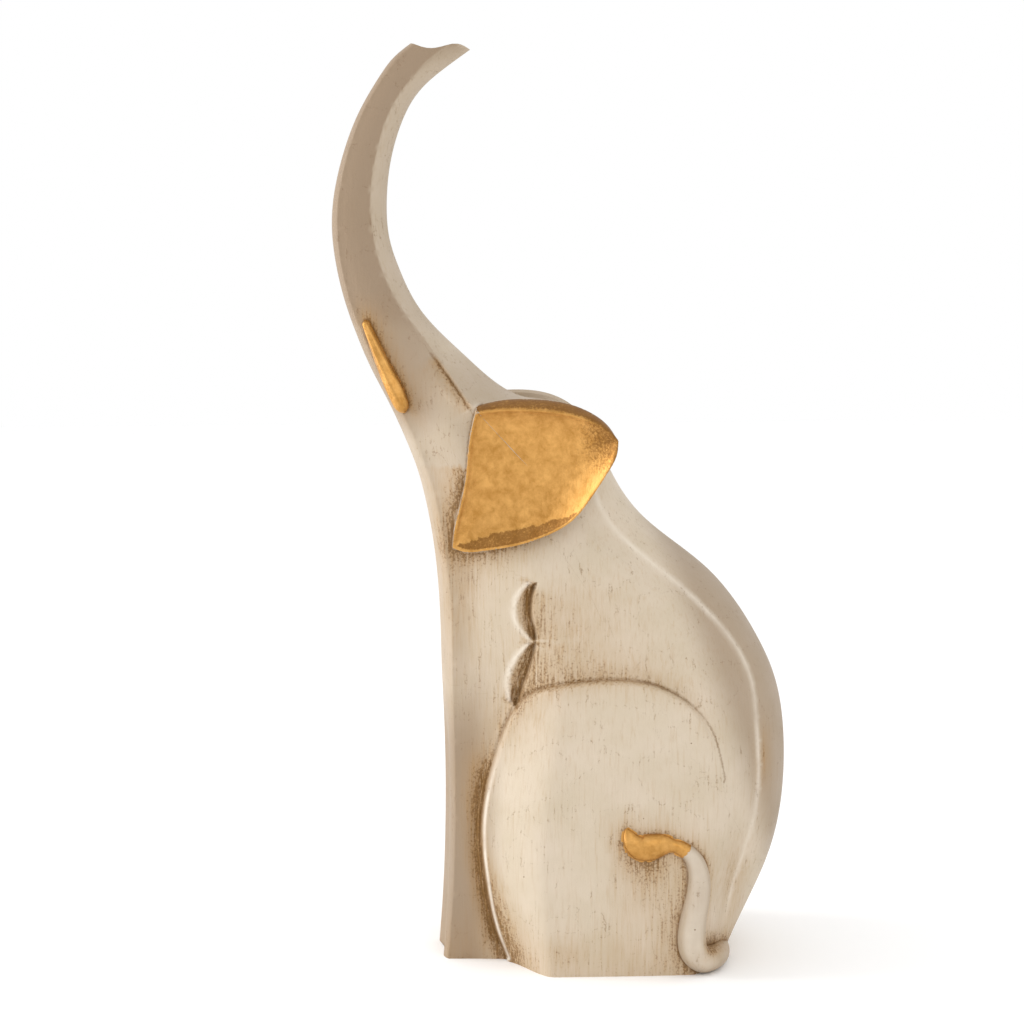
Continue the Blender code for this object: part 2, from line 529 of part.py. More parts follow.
def tail_shape():
    """A round tail that leaves the back on the ground, turns forward round the left haunch,
    climbs it and ends in a leaf-shaped tuft."""
    path = through(np.array(TAIL_AXIS), TAIL_STEPS)
    share = np.linspace(0.0, 1.0, TAIL_STEPS)
    radius = TAIL_DIAMETER / 2.0 * np.interp(share, *np.transpose(TAIL_TAPER))
    tuft = np.clip((share - TUFT_START) / (1.0 - TUFT_START), 0.0, 1.0)
    leaf = np.sin(np.pi * np.clip(tuft * 0.93 + 0.04, 0.0, 1.0)) ** 0.8
    blend = smooth(tuft / 0.2)
    radius_side = radius * (1.0 - blend) + np.maximum(TUFT_WIDTH / 2.0 * leaf, 0.0006) * blend
    radius_out = radius * (1.0 - blend) + np.maximum(TUFT_THICKNESS / 2.0 * leaf, 0.0006) * blend
    axis = np.column_stack([path[:, 0] * UNIT, -path[:, 2] * SIDE, path[:, 1] * UNIT])
    axis[:, 2] = np.maximum(axis[:, 2], radius_side + TAIL_LIFT)
    return swept(axis, radius_side, radius_out, TAIL_SIDES, (TAIL_MIDDLE * UNIT, 0.0))


def join(body, operand):
    union = body.modifiers.new("Join " + operand.name, "BOOLEAN")
    union.operation = "UNION"
    union.object = operand
    union.material_mode = "TRANSFER"


def build():
    for old in list(bpy.data.objects):
        bpy.data.objects.remove(old)
    resin = material("Ivory resin", (0.610, 0.500, 0.385), 0.55)
    gold = material("Gold paint", (0.560, 0.300, 0.070), 0.38, 0.75)
    skin = Skin()
    place, faces = refined(skin)
    body = solid("elephant", skin(place[:, 0], place[:, 1]), faces, resin)
    halves = body.modifiers.new("Right side", "MIRROR")
    halves.use_axis = (False, True, False)
    halves.merge_threshold = 0.00001
    join(body, helper(solid("ears", *mirrored(*ear_shape()), gold)))
    join(body, helper(solid("tusks", *mirrored(*tusk_shape()), gold)))
    join(body, helper(solid("tail", *tail_shape(), resin)))


build()
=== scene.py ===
"""Elephant figurine: the fine surface and the finish of a seated, cast resin elephant.

The figure faces -X, its left side faces -Y and it stands on Z = 0, as in the frame. Lengths
in the shape tables are in 350ths of the height, so they are millimetres on this figure.
"""

from functools import partial

import bmesh
import bpy
import numpy as np
from mathutils import Matrix, Vector


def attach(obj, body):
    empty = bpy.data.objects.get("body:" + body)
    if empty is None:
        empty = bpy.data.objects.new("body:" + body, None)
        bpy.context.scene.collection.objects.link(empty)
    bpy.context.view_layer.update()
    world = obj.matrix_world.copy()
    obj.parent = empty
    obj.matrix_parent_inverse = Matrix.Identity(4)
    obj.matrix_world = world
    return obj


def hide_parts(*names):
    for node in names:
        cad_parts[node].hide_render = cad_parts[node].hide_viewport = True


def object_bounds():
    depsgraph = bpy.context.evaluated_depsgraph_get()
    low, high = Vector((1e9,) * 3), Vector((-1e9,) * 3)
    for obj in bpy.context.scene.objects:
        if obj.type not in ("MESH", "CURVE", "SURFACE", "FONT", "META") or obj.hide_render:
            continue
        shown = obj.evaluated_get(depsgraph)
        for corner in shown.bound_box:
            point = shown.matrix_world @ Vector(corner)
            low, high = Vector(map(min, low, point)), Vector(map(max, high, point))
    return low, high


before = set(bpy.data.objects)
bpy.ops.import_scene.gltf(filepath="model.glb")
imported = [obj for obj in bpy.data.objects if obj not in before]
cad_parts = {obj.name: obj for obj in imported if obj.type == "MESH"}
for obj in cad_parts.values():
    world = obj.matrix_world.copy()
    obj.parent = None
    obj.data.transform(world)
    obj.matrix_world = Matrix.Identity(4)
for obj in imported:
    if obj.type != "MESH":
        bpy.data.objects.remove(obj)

bl_info = {
    "name": "Elephant figurine",
    "version": (1, 0, 0),
    "blender": (4, 5, 0),
    "location": "3D View > Sidebar > Elephant",
    "description": "Casts a fine surface for the elephant figurine, paints it and lights it",
    "category": "Object",
}

CAD_LOW, CAD_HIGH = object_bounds()
HEIGHT = CAD_HIGH.z - CAD_LOW.z
UNIT = HEIGHT / 350.0     # metres for one unit of the side view
SIDE = 0.098 / 98.0       # metres for one unit of half-width, on a body 98 mm wide
MM = 0.001

# Mesh: how the edges grow away from the carved lines, and how many points the small parts have
REFINE_ROUNDS = 12        # halvings of the longest edges, enough for the finest mesh
CLOSING_ROUNDS = 60       # at most this many steps until each cut triangle has its longest edge cut
FINE_ZONE = 2.4           # up to this distance from a carved line the edges stay the finest
EDGE_GROWTH = 0.28        # growth of an edge for each unit further away
SLACK = 1.3               # an edge may be this much longer than asked
FAR = 99.0                # stands for the distance to a carved line where there is none
MIDDLE_ZONE = 0.008       # half-width of the strip along the middle plane that has no carving
EAR_POINTS = (61, 75, 41)
TAIL_RINGS, TAIL_SIDES = 131, 34
TUSK_RINGS, TUSK_SIDES = 50, 42
SHARP_ANGLE = 42.0        # degrees from which an edge is drawn sharp

# One rib a line, from the sole to the end of the trunk: front end (x, z), back end (x, z),
# then five points between them as (share of the way from front to back, half-width): the
# front edge, the back of the leg or cheek, the shoulder of the haunch, its rear, the ridge.
RIBS = (
    ((-48.2, 0.0), (62.0, 0.0), (0.022, 16.0), (0.21, 19.0), (0.36, 44.5), (0.83, 47.4), (0.95, 32.0)),
    ((-46.6, 25.0), (78.7, 28.0), (0.022, 16.0), (0.125, 20.0), (0.29, 42.0), (0.72, 48.5), (0.87, 28.0)),
    ((-45.8, 55.0), (87.0, 58.0), (0.022, 16.3), (0.095, 20.0), (0.27, 41.0), (0.69, 48.5), (0.88, 29.0)),
    ((-46.1, 85.0), (86.3, 96.0), (0.022, 16.5), (0.130, 21.0), (0.31, 39.0), (0.70, 45.5), (0.885, 30.0)),
    ((-47.0, 115.0), (76.8, 122.0), (0.026, 16.5), (0.170, 22.5), (0.36, 34.0), (0.70, 39.5), (0.895, 30.0)),
    ((-47.8, 138.0), (57.5, 148.3), (0.035, 16.5), (0.150, 21.5), (0.40, 31.5), (0.68, 34.5), (0.84, 28.5)),
    ((-50.4, 163.0), (31.2, 169.8), (0.040, 16.0), (0.110, 17.5), (0.40, 25.5), (0.65, 28.5), (0.815, 25.0)),
    ((-53.8, 180.0), (17.5, 190.0), (0.050, 15.5), (0.180, 21.0), (0.42, 21.5), (0.66, 24.5), (0.87, 23.5)),
    ((-58.9, 196.0), (2.8, 212.8), (0.050, 15.0), (0.310, 25.5), (0.50, 25.0), (0.72, 25.5), (0.88, 24.5)),
    ((-65.7, 211.5), (-15.0, 216.2), (0.060, 14.0), (0.280, 20.5), (0.43, 24.5), (0.51, 26.5), (0.59, 27.5)),
    ((-73.6, 227.0), (-38.0, 232.3), (0.070, 12.0), (0.300, 16.0), (0.50, 18.0), (0.60, 18.6), (0.69, 18.5)),
    ((-79.9, 242.0), (-54.9, 249.8), (0.080, 10.5), (0.300, 13.2), (0.50, 14.4), (0.65, 14.4), (0.75, 13.8)),
    ((-84.9, 257.5), (-62.9, 265.4), (0.080, 9.0), (0.300, 11.0), (0.48, 11.8), (0.60, 11.8), (0.70, 11.4)),
    ((-88.4, 280.0), (-67.1, 280.0), (0.100, 8.0), (0.300, 9.4), (0.48, 10.0), (0.60, 10.0), (0.70, 9.6)),
    ((-86.9, 297.0), (-67.4, 294.0), (0.100, 7.6), (0.300, 8.9), (0.46, 9.4), (0.58, 9.4), (0.66, 9.1)),
    ((-82.4, 313.5), (-65.2, 309.5), (0.100, 7.2), (0.300, 8.4), (0.46, 8.9), (0.58, 8.9), (0.65, 8.6)),
    ((-76.0, 328.0), (-59.2, 326.0), (0.100, 6.8), (0.300, 7.9), (0.44, 8.3), (0.55, 8.3), (0.62, 8.1)),
    ((-69.5, 338.6), (-51.8, 335.6), (0.100, 6.6), (0.300, 7.6), (0.44, 7.9), (0.55, 7.9), (0.64, 7.5)),
    ((-64.2, 345.3), (-42.8, 342.8), (0.090, 6.4), (0.280, 7.4), (0.42, 7.6), (0.55, 7.4), (0.68, 6.4)),
    ((-58.4, 350.0), (-35.7, 347.9), (0.080, 6.2), (0.260, 7.2), (0.40, 7.2), (0.58, 6.4), (0.78, 4.8)),
)
NECK_RIB = 9              # from this rib up, the back of the rib belongs to the trunk
BODY_BACK_ROUND = 0.70    # 1 is an elliptic back, 0 a flat chamfer
TRUNK_BACK_ROUND = 0.40
MOUTH_DIP = 1.5           # how far the end of the trunk sinks behind its front corner
FINGER_RISE = 1.4         # how far the finger at the back of the trunk's end arches up
FINGER_FROM = 0.55        # share of the trunk's end where the finger begins
NOSTRIL_DEPTH = 0.0040
LEG_CLEFT = 0.0022        # channel down the front, between the two front legs

# Carved lines in the side view, (x, z), and the widths of what is cut beside them
HAUNCH = ((-24.2, 1.5), (-27.5, 10.1), (-32.0, 31.0), (-33.6, 51.6), (-31.7, 68.0), (-26.9, 86.0),
          (-22.1, 98.1), (-15.5, 105.6), (-7.1, 109.0), (2.4, 110.8), (17.0, 111.7), (28.4, 110.4),
          (39.2, 105.6), (46.7, 98.6), (52.1, 87.7), (55.4, 74.0))
UPPER_FOLD = ((-13.2, 148.0), (-14.8, 144.4), (-15.5, 139.8), (-15.4, 135.0), (-14.2, 130.0), (-13.7, 124.6))
LOWER_FOLD = ((-13.7, 125.6), (-15.2, 118.0), (-17.0, 112.1), (-18.9, 106.3), (-21.2, 99.4))
UPPER_FOLD_WIDTH = 5.4
LOWER_FOLD_WIDTH = 5.6
BROW = ((-52.2, 233.6), (-48.7, 228.9), (-43.3, 220.9), (-38.2, 212.9))
BROW_WIDTH = 8.0
LEG_SHARE = 0.42          # share of the haunch line that runs up beside the front leg
HAUNCH_RISE = 2.2
HAUNCH_FADE = 16.0
HAUNCH_END_FADE = 0.22    # share of the haunch line over which it runs out at the rear
GROOVE_WIDTH = 2.2
CUT_WIDTH = 0.55
LIP_WIDTH = 0.40
LIP_PLACE = 1.05          # from the haunch line out to the lip beside the leg
CREASE_WALL = 1.1
BROW_WALL = 1.4
LINE_END_FADE = 0.10

# Ear outline in the side view: top edge, rear and lower edge, root edge
EAR_TOP = ((-35.8, 214.3), (-28.0, 216.4), (-17.7, 217.2), (-6.0, 216.4), (4.5, 213.0), (11.5, 207.6),
           (14.5, 202.6))
EAR_REAR = ((14.5, 202.6), (14.2, 198.0), (11.2, 191.0), (5.7, 181.6), (-1.5, 172.0), (-11.1, 165.9),
            (-22.0, 161.8), (-33.3, 159.5), (-40.5, 159.0), (-44.3, 160.3))
EAR_ROOT = ((-44.3, 160.3), (-43.7, 166.9), (-41.4, 177.5), (-39.5, 189.2), (-38.6, 200.5), (-35.8, 214.3))
EAR_CENTRE = (-16.0, 191.0)
EAR_ROOT_TOP = 30.5       # half-width where the top edge leaves the head
EAR_ROOT_LOW = 20.5       # half-width at the lower end of the root
EAR_SPREAD = 0.101        # across the tips of the ears
EAR_THICKNESS = 0.0065
EAR_HOLLOW = 0.0065       # depth of the dished face
EAR_BACK_BULGE = 0.010
EAR_EDGE_INSET = 0.0010   # the sharp edge is drawn in by this much
EAR_BACK_ROUND = 0.0012   # and the back is rounded off by this much at the hem

TUSK_AXIS = ((-76.6, 246.2), (-72.9, 237.0), (-68.8, 227.3), (-64.6, 218.0), (-62.0, 211.3))
TUSK_RADIUS = (1.4, 2.2, 2.9, 3.3, 2.6)
TUSK_DEPTH = (11.6, 12.5, 13.4, 14.4, 15.2)
TUSK_STAND = 0.0034
FLUTES = 6.0              # waves round the whole tusk, of which three show
FLUTE_DEPTH = 0.035       # share of the radius

# Tail, from the back of the body round on the ground and up the left haunch: x, z, half-width
TAIL_AXIS = ((53.0, 4.9, 4.0), (57.0, 4.6, 12.0), (58.3, 4.6, 22.0), (57.0, 4.6, 32.0), (53.6, 4.6, 40.5),
             (49.0, 5.2, 45.8), (44.8, 8.6, 47.8), (43.4, 15.0, 48.0), (44.5, 24.4, 47.9),
             (46.0, 34.0, 47.8), (45.6, 40.0, 47.8), (43.2, 45.8, 47.8), (38.8, 49.2, 47.9),
             (33.0, 50.5, 48.0), (27.8, 49.6, 48.0), (23.6, 49.5, 47.6), (20.6, 52.2, 47.0),
             (18.8, 56.4, 46.4))
# The tail's thickness along its length, as (share of the length, share of its diameter)
TAIL_TAPER = ((0.0, 1.0), (0.30, 1.0), (0.46, 1.26), (0.58, 1.14), (0.68, 1.0), (0.77, 0.72), (1.0, 0.60))
TAIL_CLIMB = 6            # from this point of the axis on, the tail climbs the haunch
TAIL_GOLD = 0.60          # share of the climbing tail where the gold starts
TAIL_DIAMETER = 0.0086
TAIL_MIDDLE = 20.0        # the tail curls round an upright line at this x
TUFT_START = 0.80         # share of the tail's length where the tuft begins
TUFT_WIDTH = 0.0100
TUFT_THICKNESS = 0.0070
LEAST_RADIUS = 0.0006
GROUND_GAP = 0.0005       # the tail clears the ground by this much

# Patches of wash away from the carved lines: middle (x, z), half-widths, amount
WASH_PATCHES = (
    (-42.0, 140.0, 9.0, 26.0, 0.30),
    (-4.0, 9.0, 7.0, 5.0, 0.30),
    (62.0, 32.0, 6.0, 16.0, 0.42),
    (74.0, 80.0, 3.5, 11.0, 0.45),
)
TAIL_NOOK = (50.0, 9.0, 6.0, 5.0, 0.85)   # the hollow inside the curl, on the left side alone

PAINTED = ("cuts_mm", "coat", "leaf_mm")   # the vectors that the painter stores at each point
NO_CUT = 20.0                      # distance in millimetres past which no cut is drawn
JOINT_REACH = 0.012                # distance up to which a joint counts
FACTOR, FIRST, SECOND = 0, 6, 7    # sockets of a Mix node that mixes colours


def smooth(value):
    """0 below 0, 1 above 1, and the cubic 3t^2 - 2t^3 between."""
    value = np.clip(value, 0.0, 1.0)
    return value * value * (3.0 - 2.0 * value)


def bump(distance, width):
    """A bell of height 1 over distance 0: e to the minus the square of distance by width."""
    return np.exp(-(distance / width) ** 2)


def leaf_form(along):
    """Width of a fold along its line, as a share: a half sine to the power 0.7."""
    return np.sin(np.pi * np.clip(along, 0.02, 0.98)) ** 0.7


def spline(knots, values, at):
    """Natural cubic spline: the second derivatives at the knots solve one three-diagonal
    set of equations, and each stretch is the cubic with those at its ends."""
    gap = np.diff(knots)
    slope = np.diff(values, axis=0) / gap[:, None]
    count = len(knots)
    matrix = np.eye(count)
    right = np.zeros_like(values)
    for i in range(1, count - 1):
        matrix[i, i - 1:i + 2] = gap[i - 1], 2.0 * (gap[i - 1] + gap[i]), gap[i]
        right[i] = 6.0 * (slope[i] - slope[i - 1])
    bend = np.linalg.solve(matrix, right)
    i = np.clip(np.searchsorted(knots, at, side="right") - 1, 0, count - 2)
    gap = (knots[i + 1] - knots[i])[:, None]
    b = (at - knots[i])[:, None] / gap
    a = 1.0 - b
    return (a * values[i] + b * values[i + 1]
            + ((a ** 3 - a) * bend[i] + (b ** 3 - b) * bend[i + 1]) * gap ** 2 / 6.0)


def through(points, count):
    """Evenly spaced points along the natural spline through a few points."""
    points = np.asarray(points, float)
    run = np.concatenate([[0.0], np.cumsum(np.linalg.norm(np.diff(points, axis=0), axis=1))])
    return spline(run, points, np.linspace(0.0, run[-1], count))


def nearest_on(line, x, z, chunk=20000):
    """For each place (x, z): its distance to a line of points, signed + where the place is
    left of the way the line runs, and the share of the line where the nearest point lies."""
    start, step = line[:-1], np.diff(line, axis=0)
    signed, share = np.empty(len(x)), np.empty(len(x))
    for low in range(0, len(x), chunk):
        part = slice(low, low + chunk)
        place = np.stack([x[part], z[part]], 1)[:, None, :] - start[None]
        along = np.clip((place * step).sum(2) / (step ** 2).sum(1), 0.0, 1.0)
        away = place - along[..., None] * step
        distance = np.hypot(away[..., 0], away[..., 1])
        best = distance.argmin(1)
        row = np.arange(len(best))
        cross = step[best, 0] * place[row, best, 1] - step[best, 1] * place[row, best, 0]
        signed[part] = distance[row, best] * np.where(cross < 0.0, -1.0, 1.0)
        share[part] = (best + along[row, best]) / len(step)
    return signed, share


class Skin:
    """Left half of the body. A place on it is (across, along): across runs 0 to 6 from the
    front outline over the five rib points to the back outline, along runs 0 to 1 from sole to
    trunk end, -1 to 0 over the flat sole and 1 to 2 over the hollow end of the trunk."""

    def __init__(self, relief):
        self.relief = relief
        front = np.array([rib[0] for rib in RIBS])
        back = np.array([rib[1] for rib in RIBS])
        marks = np.array([rib[2:] for rib in RIBS])
        run = np.cumsum(np.linalg.norm(np.diff((front + back) / 2.0, axis=0), axis=1))
        self.knots = np.concatenate([[0.0], run]) / run[-1]
        self.table = np.hstack([front, back, marks[:, :, 0], marks[:, :, 1]])
        self.neck = self.knots[NECK_RIB]
        self.haunch = through(HAUNCH, 120)
        self.folds = ((through(UPPER_FOLD, 40), UPPER_FOLD_WIDTH),
                      (through(LOWER_FOLD, 40), LOWER_FOLD_WIDTH))
        self.brow = through(BROW, 30)
        self.tail = through(np.array(TAIL_AXIS)[TAIL_CLIMB:, :2], 60)

    def section(self, across, share, half):
        """A rib's shape: a quarter ellipse round the front edge, then cubic stretches whose
        slopes at the five points are the harmonic means of the slopes beside them."""
        across = np.clip(across, 0.0, 6.0)
        turn = np.clip(across, 0.0, 1.0) * np.pi / 2.0
        c = share[:, 0] * (1.0 - np.cos(turn))
        y = half[:, 0] * np.sin(turn)
        gap = np.diff(share, axis=1)
        slope = np.diff(half, axis=1) / gap
        tangent = np.empty_like(half)
        tangent[:, 0], tangent[:, -1] = slope[:, 0] * 0.6, slope[:, -1]
        same = slope[:, :-1] * slope[:, 1:] > 0.0
        total = np.where(same, slope[:, :-1] + slope[:, 1:], 1.0)
        tangent[:, 1:-1] = np.where(same, 2.0 * slope[:, :-1] * slope[:, 1:] / total, 0.0)
        for k in range(4):
            on = (across >= k + 1.0) & (across < k + 2.0)
            u, g = across[on] - (k + 1.0), gap[on, k]
            c[on] = share[on, k] + u * g
            rise = 3.0 * u ** 2 - 2.0 * u ** 3
            y[on] = ((1.0 - rise) * half[on, k] + rise * half[on, k + 1]
                     + (u ** 3 - 2.0 * u ** 2 + u) * g * tangent[on, k]
                     + (u ** 3 - u ** 2) * g * tangent[on, k + 1])
        return c, y

    def haunch_relief(self, x, z):
        """A step up to the haunch inside its line, dying away inwards; a thin cut on the line;
        beside the leg a broad valley with a fine lip between two cuts."""
        relief = self.relief
        signed, along = nearest_on(self.haunch, x, z)
        inside = -signed
        fade = smooth((1.0 - along) / HAUNCH_END_FADE)
        leg = smooth((LEG_SHARE - along) / 0.08) * smooth((z - 3.0) / 5.0)
        dying = np.exp(-np.maximum(inside - HAUNCH_RISE, 0.0) / HAUNCH_FADE)
        step = relief.haunch_step * smooth((inside + 0.5) / HAUNCH_RISE) * dying
        valley = relief.leg_groove * bump(inside + 2.0, GROOVE_WIDTH) * (0.25 + 0.75 * leg)
        cut = relief.line_cut * (bump(inside + 0.2, CUT_WIDTH) + 0.8 * leg * bump(inside + 1.9, 0.45))
        lip = 0.55 * relief.line_cut * leg * bump(inside + LIP_PLACE, LIP_WIDTH)
        return (step - valley - cut + lip) * fade

    def fold_relief(self, x, z):
        """Each elbow fold is a leaf: its floor sinks evenly from the leaf's left edge to the
        crease, where a thin lip stands between two cuts, and climbs steeply on the right."""
        depth = np.zeros_like(x)
        for line, width in self.folds:
            signed, along = nearest_on(line, x, z)
            leaf = width * leaf_form(along)
            distance = np.abs(signed)
            floor = smooth(1.0 - distance / leaf) ** 0.8 * (signed < 0.0)
            wall = np.clip(1.0 - distance / CREASE_WALL, 0.0, 1.0) * (signed >= 0.0)
            ends = smooth(along / LINE_END_FADE) * smooth((1.0 - along) / LINE_END_FADE)
            lip = 0.22 * bump(signed + 1.0, LIP_WIDTH) - 0.20 * bump(signed + 1.8, LIP_WIDTH)
            depth += self.relief.fold_depth * (np.maximum(floor, wall) - lip) * ends
        return -depth

    def brow_relief(self, x, z):
        """The crease behind the trunk: a hollow that deepens up to its line from the left."""
        signed, along = nearest_on(self.brow, x, z)
        distance = np.abs(signed)
        scoop = np.clip(1.0 - distance / BROW_WIDTH, 0.0, 1.0) ** 1.3 * (signed < 0.0)
        wall = np.clip(1.0 - distance / BROW_WALL, 0.0, 1.0) * (signed >= 0.0)
        ends = np.sin(np.pi * np.clip(along, 0.0, 1.0)) ** 0.6
        return -self.relief.brow_depth * np.maximum(scoop, wall) * ends

    def carving(self, x, z):
        """Depth of all carved lines at a place of the side view, outwards positive, metres."""
        return self.haunch_relief(x, z) + self.fold_relief(x, z) + self.brow_relief(x, z)

    def feature_distance(self, x, z):
        """Distance to the nearest carved line, in units of the side view."""
        lines = [self.haunch, self.brow] + [line for line, _ in self.folds]
        return np.min([np.abs(nearest_on(line, x, z)[0]) for line in lines], axis=0)

    def measured(self, place):
        """Points of the skin, and how far each is from a carved line. On the soles, the
        mouth and near the middle plane that is taken as far."""
        point = self(place[:, 0], place[:, 1])
        apart = self.feature_distance(point[:, 0] / UNIT, point[:, 2] / UNIT)
        plain = (place[:, 1] < 0.0) | (place[:, 1] > 1.0) | (-point[:, 1] < MIDDLE_ZONE)
        return point, np.where(plain, FAR, apart)

    def __call__(self, across, along):
        """Points (x, y, z). The ribs' numbers are splined along. Behind the ridge the rib is a
        mix of a quarter ellipse and a straight line. The carving is added to the half-width,
        the trunk's end dips and rises by half sines, and sole and mouth draw the half-width in
        to the middle plane."""
        along_rib = np.clip(along, 0.0, 1.0)
        row = spline(self.knots, self.table, along_rib)
        front, back, share, half = row[:, 0:2], row[:, 2:4], row[:, 4:9], row[:, 9:14]
        c, y = self.section(across, share, half)
        u = np.clip(across - 5.0, 0.0, 1.0)
        to_trunk = smooth((along_rib - self.neck + 0.16) / 0.14)
        roundness = BODY_BACK_ROUND + (TRUNK_BACK_ROUND - BODY_BACK_ROUND) * to_trunk
        turn = u * np.pi / 2.0
        rear = across >= 5.0
        c_rear = share[:, 4] + (1.0 - share[:, 4]) * (roundness * np.sin(turn) + (1.0 - roundness) * u)
        y_rear = half[:, 4] * (roundness * np.cos(turn) + (1.0 - roundness) * (1.0 - u))
        c = np.where(rear, c_rear, c)
        y = np.where(rear, y_rear, y)
        y = np.where(across >= 6.0, 0.0, np.maximum(y, 0.0))
        x = front[:, 0] + c * (back[:, 0] - front[:, 0])
        z = front[:, 1] + c * (back[:, 1] - front[:, 1])
        end = smooth((along_rib - 0.93) / 0.07)
        z = z - MOUTH_DIP * end * np.sin(np.pi * np.clip(c / FINGER_FROM, 0.0, 1.0))
        finger = np.clip((c - FINGER_FROM) / (1.0 - FINGER_FROM), 0.0, 1.0)
        z = z + FINGER_RISE * end * np.sin(np.pi * finger)
        y = y * SIDE
        y = y + self.carving(x, z) * smooth(y / 0.014)
        x = x * UNIT + self.cleft(across, along_rib)
        sole = np.clip(-along, 0.0, 1.0)
        mouth = np.clip(along - 1.0, 0.0, 1.0)
        hollow = NOSTRIL_DEPTH * smooth(mouth / 0.5) * smooth(y / 0.005) * smooth((0.66 - c) / 0.3)
        y = y * (1.0 - sole) * (1.0 - mouth)
        x = x + sole * np.maximum(front[:, 0] * UNIT + LEG_CLEFT - x, 0.0)
        z = np.where(along <= 0.0, 0.0, z * UNIT - hollow)
        return np.stack([x, -y, z], 1)

    def cleft(self, across, along):
        """The channel between the front legs pushes the front outline back near the middle."""
        low = smooth((0.30 - along) / 0.10)
        return LEG_CLEFT * low * (1.0 - smooth(np.clip(across, 0.0, 1.0) / 0.55))


def split_faces(faces, mid, length):
    """Each triangle cut by the middles of its split edges: into 4, 3, 2 or left whole."""
    count = (mid >= 0).sum(1)
    a, m = faces[count == 3], mid[count == 3]
    out = [faces[count == 0], np.stack([a[:, 0], m[:, 0], m[:, 2]], 1),
           np.stack([a[:, 1], m[:, 1], m[:, 0]], 1), np.stack([a[:, 2], m[:, 2], m[:, 1]], 1), m]
    for turn in range(3):
        order = [(turn + k) % 3 for k in range(3)]
        f, m = faces[:, order], mid[:, order]
        one = (count == 1) & (m[:, 0] >= 0)
        out += [np.stack([f[one, 0], m[one, 0], f[one, 2]], 1),
                np.stack([m[one, 0], f[one, 1], f[one, 2]], 1)]
        two = (count == 2) & (m[:, 2] < 0)
        first = length[:, order[0]] >= length[:, order[1]]
        long, other = two & first, two & ~first
        out += [np.stack([m[two, 0], f[two, 1], m[two, 1]], 1),
                np.stack([m[long, 0], m[long, 1], f[long, 2]], 1),
                np.stack([f[long, 0], m[long, 0], f[long, 2]], 1),
                np.stack([f[other, 0], m[other, 0], m[other, 1]], 1),
                np.stack([f[other, 0], m[other, 1], f[other, 2]], 1)]
    return np.concatenate(out)


def refined(skin, fine, coarse):
    """Points and triangles of the skin, split at the middles of their longest edges until
    every edge is short enough: fine on the carved lines, growing to coarse away from them.
    Each round works on all edges at once. Edges of no length rank by their length on the
    (across, along) sheet."""
    columns = np.array([0.0, 0.35, 0.7, 1.0, 2.0, 3.0, 4.0, 5.0, 5.4, 6.0])
    rows = np.concatenate([[-1.0], skin.knots, [2.0]])
    across, along = np.meshgrid(columns, rows)
    place = np.stack([across.ravel(), along.ravel()], 1)
    width = len(columns)
    corner = (np.arange(len(rows) - 1)[:, None] * width + np.arange(width - 1)).ravel()
    faces = np.concatenate([np.stack([corner, corner + 1, corner + width + 1], 1),
                            np.stack([corner, corner + width + 1, corner + width], 1)])
    point, apart = skin.measured(place)
    for _ in range(REFINE_ROUNDS):
        ends = np.concatenate([faces[:, [0, 1]], faces[:, [1, 2]], faces[:, [2, 0]]])
        edges, which = np.unique(np.sort(ends, axis=1), axis=0, return_inverse=True)
        which = which.reshape(3, -1).T
        first, second = edges.T
        length = np.linalg.norm(point[first] - point[second], axis=1)
        near = np.minimum(apart[first], apart[second])
        limit = np.clip(fine + EDGE_GROWTH * (near - FINE_ZONE) * MM, fine, coarse)
        split = length > limit * SLACK
        if not split.any():
            break
        rank = length + 1e-6 * np.linalg.norm(place[first] - place[second], axis=1)
        longest = which[np.arange(len(faces)), rank[which].argmax(1)]
        for _ in range(CLOSING_ROUNDS):
            asked = split[which].any(1) & ~split[longest]
            if not asked.any():
                break
            split[longest[asked]] = True
        new = np.full(len(edges), -1)
        new[split] = len(place) + np.arange(split.sum())
        added = place[edges[split]].mean(1)
        added_point, added_apart = skin.measured(added)
        place = np.concatenate([place, added])
        point = np.concatenate([point, added_point])
        apart = np.concatenate([apart, added_apart])
        faces = split_faces(faces, new[which], rank[which])
    return point, faces


def grid_faces(rows, columns):
    """Triangles of a grid whose columns close on themselves, row by row."""
    row = np.arange(rows - 1)[:, None] * columns
    step = np.arange(columns)[None, :]
    after = (step + 1) % columns
    lower = np.stack([row + step, row + after, row + columns + after], -1).reshape(-1, 3)
    upper = np.stack([row + step, row + columns + after, row + columns + step], -1).reshape(-1, 3)
    return np.concatenate([lower, upper])


def fan(first, columns, tip):
    """Triangles from a ring to a single point."""
    step = np.arange(columns)
    return np.stack([first + step, first + (step + 1) % columns, np.full(columns, tip)], 1)


